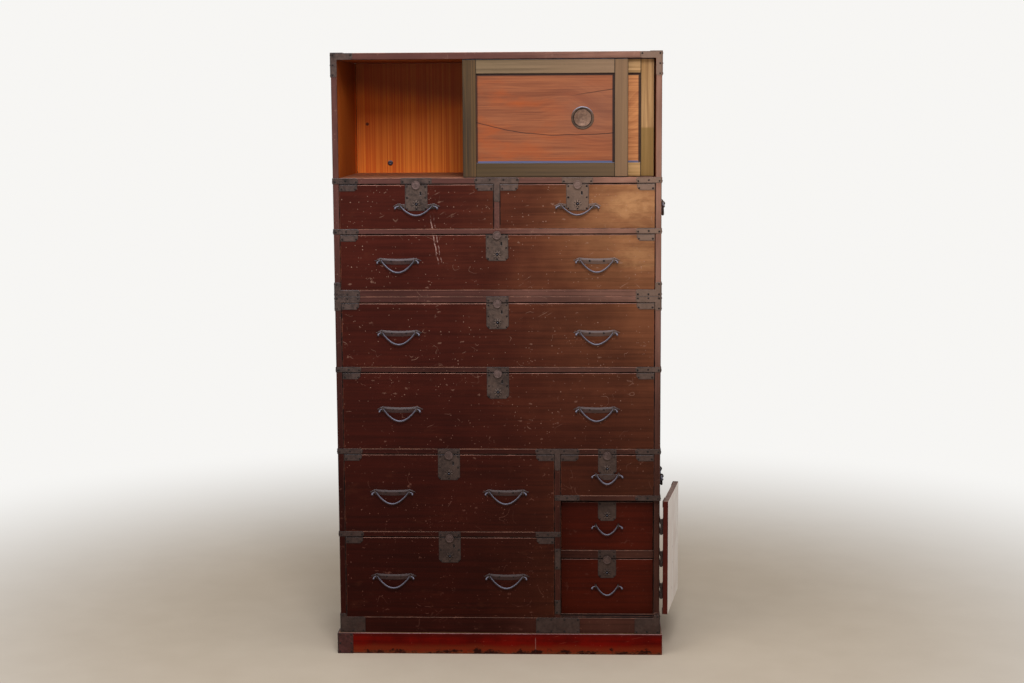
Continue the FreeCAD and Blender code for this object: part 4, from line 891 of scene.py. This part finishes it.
def lathe(bm, centre, unit, profile, steps=40, slot=0):
    """A piece turned about an axis along Y, from (radius in units, millimetres forward) pairs."""
    rings = [ring(bm, centre, forward, [radius * unit] * (steps if radius else 1))
             for radius, forward in profile]
    for before, after in zip(rings, rings[1:]):
        for k in range(steps):
            j = (k + 1) % steps
            corners = [before[k % len(before)], before[j % len(before)], after[j % len(after)],
                       after[k % len(after)]]
            face = bm.faces.new(list(dict.fromkeys(corners)))
            face.material_index = slot
            face.smooth = True


def dress_ironwork(node):
    """Plates with softened rims. Washers and key pins are made anew."""
    plates = bmesh.new()
    fittings = bmesh.new()
    body = body_of[node]
    flat = []
    locks = []
    turned_door = node == "safe_door_ironwork"
    solids = solids_of(node)
    if node == "lower_case_ironwork":
        solids.append(bay_rail_plate())
    for solid in solids:
        seat = Vector((solid.middle.x, solid.high.y, solid.middle.z))
        if not turned_door and is_about(solid, WASHER_SIZE):
            petal_washer(fittings, seat - Vector((0, SURFACE_GAP, 0)))
            continue
        if not turned_door and is_pin(solid):
            length = solid.size.y / MM
            profile = [(0, 0), (2, 0), (2, length - 1), (1.2, length - 0.2), (0, length)]
            lathe(fittings, seat, MM, profile, 16, 2)
            continue
        if is_bolt(solid):
            lathe(fittings, seat, solid.size.x / 2, BOLT_HEAD, 24, 2)
            continue
        beside = abs(solid.middle.x) > HALF_WIDTH and (not turned_door or solid.size.x > 4 * MM)
        finish = 3 if is_leaf(solid) else 1 if is_lock_plate(solid) else 4 if beside else 0
        add_solid(plates, solid, lambda face, finish=finish: finish)
        flat.append(solid)
        if finish == 1:
            locks.append(solid)
    plain = BASE_IRON if node == "base_ironwork" else PLATE_IRON
    piece = made_piece(node + "_plates", plates, body, [plain, LOCK_IRON, IRON_RIM_SHEEN_SHADE, LEAF_IRON_SHEEN, SIDE_IRON],
                       PLATE_ARRIS, 2)
    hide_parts(node)
    if fittings.verts:
        bmesh.ops.recalc_face_normals(fittings, faces=fittings.faces)
        for plate in locks:
            soot_behind(fittings, plate)
        finishes = [WASHER_IRON, SHADE_FILL, HANDLE_IRON_SHEEN_SHADE]
        made_piece(node + "_fittings", fittings, body, finishes, smooth=True)
    else:
        fittings.free()
    return flat


THICKEST_NAILED = 2.2 * MM
LEAST_PLATE = 10 * MM
TWO_ROWS = 24 * MM
NAIL_INSET = 6 * MM
NAIL_STEP = 42 * MM
NAIL_ROOM = 2.6 * MM
NAIL_RADIUS = 3 * MM
NAIL_CROWN = 0.45
NAIL_SPACING = 9 * MM
RAY_START = 20 * MM


def disc_middle(button):
    """The middle of a push button's disc."""
    low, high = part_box(button)
    return Vector(((low.x + high.x) / 2, low.y, high.z - DISC_RADIUS))


def nail_places(solids, discs):
    """Nail heads near the corners and along the middle of each thin plate, clear of the buttons' discs."""
    trees = [BVHTree.FromPolygons([tuple(p) for p in solid.points], solid.faces) for solid in solids]
    found = []
    for index, solid in enumerate(solids):
        thin = min(range(3), key=lambda k: solid.size[k])
        u, v = [k for k in range(3) if k != thin]
        least = min(solid.size[u], solid.size[v])
        if thin == 2 or solid.size[thin] > THICKEST_NAILED or least < LEAST_PLATE:
            continue
        sign = 1 if thin == 0 and solid.middle.x > 0 else -1
        spots = set()
        for k, other in ((u, v), (v, u)):
            count = max(2, round(solid.size[k] / NAIL_STEP) + 1)
            edge = NAIL_INSET / solid.size[other]
            levels = (0.5,) if solid.size[other] < TWO_ROWS else (edge, 1 - edge)
            for step in range(count):
                spot = [0, 0, 0]
                spot[k] = solid.low[k] + NAIL_INSET + (solid.size[k] - 2 * NAIL_INSET) * step / (count - 1)
                for level in levels:
                    spot[other] = solid.low[other] + solid.size[other] * level
                    spots.add(tuple(round(c, 5) for c in spot))
        face_at = solid.high[thin] if sign > 0 else solid.low[thin]
        ray = Vector([0, 0, 0])
        ray[thin] = -sign
        for spot in sorted(spots):
            place = Vector(spot)
            place[thin] = face_at
            clear = all((place - p).length > NAIL_SPACING for p, _ in found) and all(
                math.hypot(place.x - d.x, place.z - d.z) >= DISC_RADIUS + DISC_ROOM for d in discs)
            for du, dv in ((0, 0), (NAIL_ROOM, 0), (-NAIL_ROOM, 0), (0, NAIL_ROOM), (0, -NAIL_ROOM)):
                start = place - ray * RAY_START
                start[u] += du
                start[v] += dv
                hit = trees[index].ray_cast(start, ray, 0.1)[0]
                clear = clear and hit is not None and abs(hit[thin] - face_at) <= 0.1 * MM and all(
                    tree.ray_cast(start, ray, RAY_START + HAIR / 2)[0] is None
                    for n, tree in enumerate(trees) if n != index)
            if clear:
                found.append((place, -ray))
    return found


def dome_tree(finish):
    """A node tree that sets a flattened dome on each point, facing out of its plate."""
    tree = bpy.data.node_groups.new("nail_heads", "GeometryNodeTree")
    for name, way in (("Points", "INPUT"), ("Heads", "OUTPUT")):
        tree.interface.new_socket(name, in_out=way, socket_type="NodeSocketGeometry")
    g = Graph(tree)
    points = g.add("NodeGroupInput", output="Points")
    dome = g.add("GeometryNodeMeshUVSphere", {}, {"Segments": 10, "Rings": 5, "Radius": NAIL_RADIUS}, "Mesh")
    shape = g.add("GeometryNodeTransform", {}, {"Geometry": dome, "Scale": (1, 1, NAIL_CROWN)}, "Geometry")
    out = g.add("GeometryNodeInputNamedAttribute", {"data_type": "FLOAT_VECTOR"}, {"Name": "out"})
    aim = g.add("FunctionNodeAlignRotationToVector", {"axis": "Z"}, {"Vector": out}, "Rotation")
    vary = g.add("FunctionNodeRandomValue", {"data_type": "FLOAT"}, {2: 0.85, 3: 1.12, "Seed": 7}, 1)
    settle = g.add("GeometryNodeInstanceOnPoints", {}, {
        "Points": points, "Instance": shape, "Rotation": aim, "Scale": vary}, "Instances")
    real = g.add("GeometryNodeRealizeInstances", {}, {"Geometry": settle}, "Geometry")
    coat = g.add("GeometryNodeSetMaterial", {}, {"Geometry": real, "Material": finish}, "Geometry")
    g.add("NodeGroupOutput", {}, {"Heads": coat})
    return tree


NAIL_TREE = dome_tree(NAIL_IRON)


def add_nails(body, places):
    """One mesh of nail heads for a body, made by the tree and then kept as a plain mesh."""
    mesh = bpy.data.meshes.new(body + "_nail_points")
    mesh.from_pydata([tuple(place) for place, _ in places], [], [])
    outward = mesh.attributes.new("out", "FLOAT_VECTOR", "POINT")
    for row, (_, out) in zip(outward.data, places):
        row.vector = out
    carrier = placed(body + "_nail_points", mesh)
    carrier.modifiers.new("heads", "NODES").node_group = NAIL_TREE
    heads = plain_mesh(carrier)
    heads.shade_smooth()
    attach(placed(body + "_nails", heads), body)


# Handles, buttons and pulls

EYE_HALF = 2.5 * MM
# Half span and tip reach of each kind
BAILS = {"wide": (50 * MM, 9.5 * MM), "small": (48 * MM, 13 * MM), "narrow": (33.5 * MM, 11 * MM),
         "carry": (56 * MM, 12.5 * MM)}
BELLY_POWER = 0.85
BELLY_FORWARD = 2.9 * MM
TIP_FORWARD = 2 * MM


def handle_line(half_span, tip_reach, drop, tip_drop):
    """Half of a bail from its middle to its tip: across, forward, height and thickness share."""
    belly_steps = 14
    tip_steps = 6
    line = []
    for k in range(belly_steps + 1):
        turn = math.pi / 2 * k / belly_steps
        fall = max(0, math.cos(math.pi / 2 * math.sin(turn))) ** BELLY_POWER
        line.append(((half_span - EYE_HALF) * math.sin(turn), BELLY_FORWARD * fall, -drop * fall,
                     0.8 + 0.3 * fall))
    line.append((half_span + EYE_HALF, 0, 0, 0.8))
    for k in range(1, tip_steps + 1):
        part = k / tip_steps
        line.append((half_span + EYE_HALF + (tip_reach - EYE_HALF) * math.sin(math.pi / 2 * part),
                     TIP_FORWARD * part * part, -tip_drop * part ** 1.4, 0.8 + 0.4 * part ** 1.5))
    return line


def forged_bar(name, line, wire, place):
    """A smooth bar of changing thickness on a line, mirrored about its middle and closed at its ends."""
    whole = [(-a, f, h, t) for a, f, h, t in reversed(line[1:])] + line
    curve = bpy.data.curves.new(name, "CURVE")
    curve.dimensions = "3D"
    curve.bevel_depth = wire
    curve.bevel_resolution = 3
    curve.use_fill_caps = True
    spline = curve.splines.new("POLY")
    spline.points.add(len(whole) - 1)
    for point, (across, forward, height, thick) in zip(spline.points, whole):
        point.co = (*place(across, forward, height), 1)
        point.radius = thick
    return plain_mesh(placed(name, curve))


def bead(bm, centre, radius):
    """A small rounded end."""
    bmesh.ops.create_uvsphere(bm, u_segments=12, v_segments=8, radius=radius,
                              matrix=Matrix.Translation(centre))


def dress_handle(node):
    """A forged bail with rounded tips, made anew on its hinge axis."""
    axis = Vector(joints[node]["pos_m"])
    if node.endswith("_handle"):
        along, out = Vector((0, 1, 0)), Vector((math.copysign(1, axis.x), 0, 0))
        wire, drop, tip_drop = 3.4 * MM, 36 * MM, 8 * MM
    else:
        along, out = Vector((1, 0, 0)), Vector((0, -1, 0))
        wire, tip_drop = 2.6 * MM, 6.5 * MM
        drop = axis.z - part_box(node)[0].z - wire * 1.1

    def place(across, forward, height):
        return axis + along * across + out * forward + Vector((0, 0, height))

    line = handle_line(*BAILS[node_kind(node)], drop, tip_drop)
    mesh = forged_bar(node + "_bar", line, wire, place)
    bm = bmesh.new()
    bm.from_mesh(mesh)
    across, forward, height, thick = line[-1]
    for sign in (-1, 1):
        bead(bm, place(sign * across, forward, height), wire * thick * 1.02)
    bmesh.ops.recalc_face_normals(bm, faces=bm.faces)
    piece = made_piece(node + "_bar", bm, body_of[node], [HANDLE_IRON_SHEEN_SHADE], smooth=True)
    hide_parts(node)


def node_kind(node):
    if node.endswith("_handle"):
        return "carry"
    if node.startswith(("left_small", "right_small")):
        return "small"
    return "narrow" if node.startswith(("right_drawer", "safe")) else "wide"


def dress_button(node):
    """A push button: a ringed disc on its shaft."""
    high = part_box(node)[1]
    bm = bmesh.new()
    centre = disc_middle(node) + Vector((0, DISC_DEPTH, 0))
    lathe(bm, centre, DISC_RADIUS, DISC_FACE)
    shaft = Vector((centre.x, high.y, centre.z - SHAFT_DROP))
    length = (high.y - centre.y) / MM + 0.5
    lathe(bm, shaft, MM, [(0, 0), (2.7, 0), (2.9, 0.6), (2.9, length), (0, length)], 16)
    bmesh.ops.recalc_face_normals(bm, faces=bm.faces)
    piece = made_piece(node + "_disc", bm, body_of[node], [DISC_IRON])
    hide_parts(node)


def dress_pull(node):
    """A cup pull: a rolled rim round a shallow dish."""
    low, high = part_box(node)
    rim = (high.x - low.x) / 2
    deep = (high.y - low.y) / MM
    dish = min(6, deep - 1.5)
    centre = middle_of(node)
    centre.y = low.y
    bm = bmesh.new()
    # Slot 2 is painted shade, on the rim's sunk outer wall and in the groove inside the bead; slot 1 carries a
    # painted highlight on the bead's top.
    for slot, profile in (
            (2, [(0.86, -deep), (0.86, -2.4), (1, -2.4), (1, -1.8)]),
            (1, [(1, -1.8), (0.985, -1.1), (0.95, -0.3), (0.9, 0)]),
            (3, [(0.9, 0), (0.85, -0.3), (0.82, -1.1), (0.81, -1.9)]),
            (2, [(0.81, -1.9), (0.78, -2.8), (0.755, -2.6)]),
            (0, [(0.755, -2.6), (0.72, -2.5), (0.58, -(1.5 + dish) / 2), (0.35, -0.6 - dish * 0.88),
                 (0, -dish)]),
            (0, [(0.86, -deep), (0, -deep)])):
        lathe(bm, centre, rim, profile, 64, slot)
    bmesh.ops.remove_doubles(bm, verts=bm.verts, dist=1e-6)
    bmesh.ops.recalc_face_normals(bm, faces=bm.faces)
    piece = made_piece(node + "_cup", bm, body_of[node], [PULL_BRONZE, PULL_RIM_SHEEN_SHADE, SHADE_FILL, PULL_SHADE])
    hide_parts(node)


# The whole chest

dress_base()
dress_case("lower_case")
dress_case("upper_case")
for node in sorted(nodes):
    if node.endswith("_box"):
        dress_drawer(node[:-len("_box")])
dress_sliding_door("front_sliding_door", STILE_WOOD, TOP_RAIL_LIT_WOOD, LOW_RAIL_WOOD, PANEL_WOOD)
dress_sliding_door("rear_sliding_door", REAR_STILE_WOOD, REAR_RAIL_WOOD, REAR_RAIL_WOOD, REAR_PANEL_WOOD)
dress_safe_door()
nails = {}
for node in sorted(nodes):
    if node.endswith("_ironwork"):
        plates = dress_ironwork(node)
        if node != "safe_door_ironwork":
            discs = [disc_middle(n) for n in nodes if n.endswith("_button") and "case" in node]
            nails.setdefault(body_of[node], []).extend(nail_places(plates, discs))
    elif node.endswith(("_bail", "_handle")):
        dress_handle(node)
    elif node.endswith("_button"):
        dress_button(node)
    elif node.endswith("_pull"):
        dress_pull(node)
for body, places in sorted(nails.items()):
    add_nails(body, places)


# Floor, light and camera

def soft_floor():
    """A pale floor that fades into the white round it."""
    f = Finish("pale_floor")
    here = f.where()
    tone = f.noise(here, 6, 4)
    colour = f.mix(tone, (210, 194, 174), (222, 207, 188))
    ground = f.add("ShaderNodeBsdfPrincipled", {}, {"Base Color": colour, "Roughness": 0.9,
                                                    "Specular IOR Level": 0.1})
    glow = f.add("ShaderNodeEmission", {}, {"Color": PAPER, "Strength": 1})
    reach = f.add("ShaderNodeVectorMath", {"operation": "LENGTH"}, {0: here}, "Value")
    f.add("ShaderNodeOutputMaterial", {}, {
        "Surface": f.add("ShaderNodeMixShader", {}, {0: reach.rise(0.9, 3.2), 1: ground, 2: glow})})
    return f.material


def add_floor():
    bm = bmesh.new()
    bmesh.ops.create_grid(bm, x_segments=2, y_segments=2, size=12)
    mesh = bpy.data.meshes.new("studio_floor")
    bm.to_mesh(mesh)
    bm.free()
    mesh.materials.append(soft_floor())
    ground = placed("studio_floor", mesh)


def add_sky(strength):
    """An even pale world, which the camera sees as white."""
    world = bpy.data.worlds.new("studio_world")
    bpy.context.scene.world = world
    world.use_nodes = True
    g = Graph(world.node_tree)
    plain = g.add("ShaderNodeBackground", {}, {"Color": (1, 0.985, 0.96, 1), "Strength": strength})
    white = g.add("ShaderNodeBackground", {}, {"Color": PAPER, "Strength": 1})
    seen = g.add("ShaderNodeLightPath", {}, {}, "Is Camera Ray")
    g.add("ShaderNodeOutputWorld", {}, {
        "Surface": g.add("ShaderNodeMixShader", {}, {0: seen, 1: plain, 2: white})})


def add_lamp(name, place, target, size, power, colour=(1, 1, 1)):
    lamp = bpy.data.lights.new(name, "AREA")
    lamp.shape = "SQUARE"
    lamp.size = size
    lamp.energy = power
    lamp.color = colour
    thing = placed(name, lamp)
    thing.location = place
    thing.rotation_euler = (Vector(target) - Vector(place)).to_track_quat("-Z", "Y").to_euler()


def add_camera():
    """The photograph's eye: its place, its three turns and its lens."""
    place = Vector((0.2436, -5.3630, 1.6174))
    pitch, yaw, roll = (math.radians(d) for d in (7.500, 2.248, -0.328))
    ahead = Vector((-math.sin(yaw) * math.cos(pitch), math.cos(yaw) * math.cos(pitch), -math.sin(pitch)))
    level = Vector((math.cos(yaw), math.sin(yaw), 0))
    above = level.cross(ahead)
    right = math.cos(roll) * level + math.sin(roll) * above
    up = math.cos(roll) * above - math.sin(roll) * level
    lens = bpy.data.cameras.new("photo_lens")
    lens.sensor_width = 36
    lens.lens = 62.56
    lens.clip_start, lens.clip_end = 0.1, 60
    camera = placed("photo_camera", lens)
    turn = Matrix((right, up, -ahead)).transposed().to_4x4()
    camera.matrix_world = Matrix.Translation(place) @ turn
    bpy.context.scene.camera = camera


PAPER = (0.93, 0.92, 0.90, 1)
add_floor()
add_sky(0.29)
add_lamp("key", (0.6, -4.4, 4), (0, 0, 0.9), 1.6, 120)
add_lamp("fill", (-3, -3.6, 2.2), (0, 0, 0.9), 2.4, 24)
add_lamp("above", (0, -0.9, 4.4), (0, -0.1, 1), 2, 40)
add_camera()
bpy.context.scene.view_settings.view_transform = "Standard"
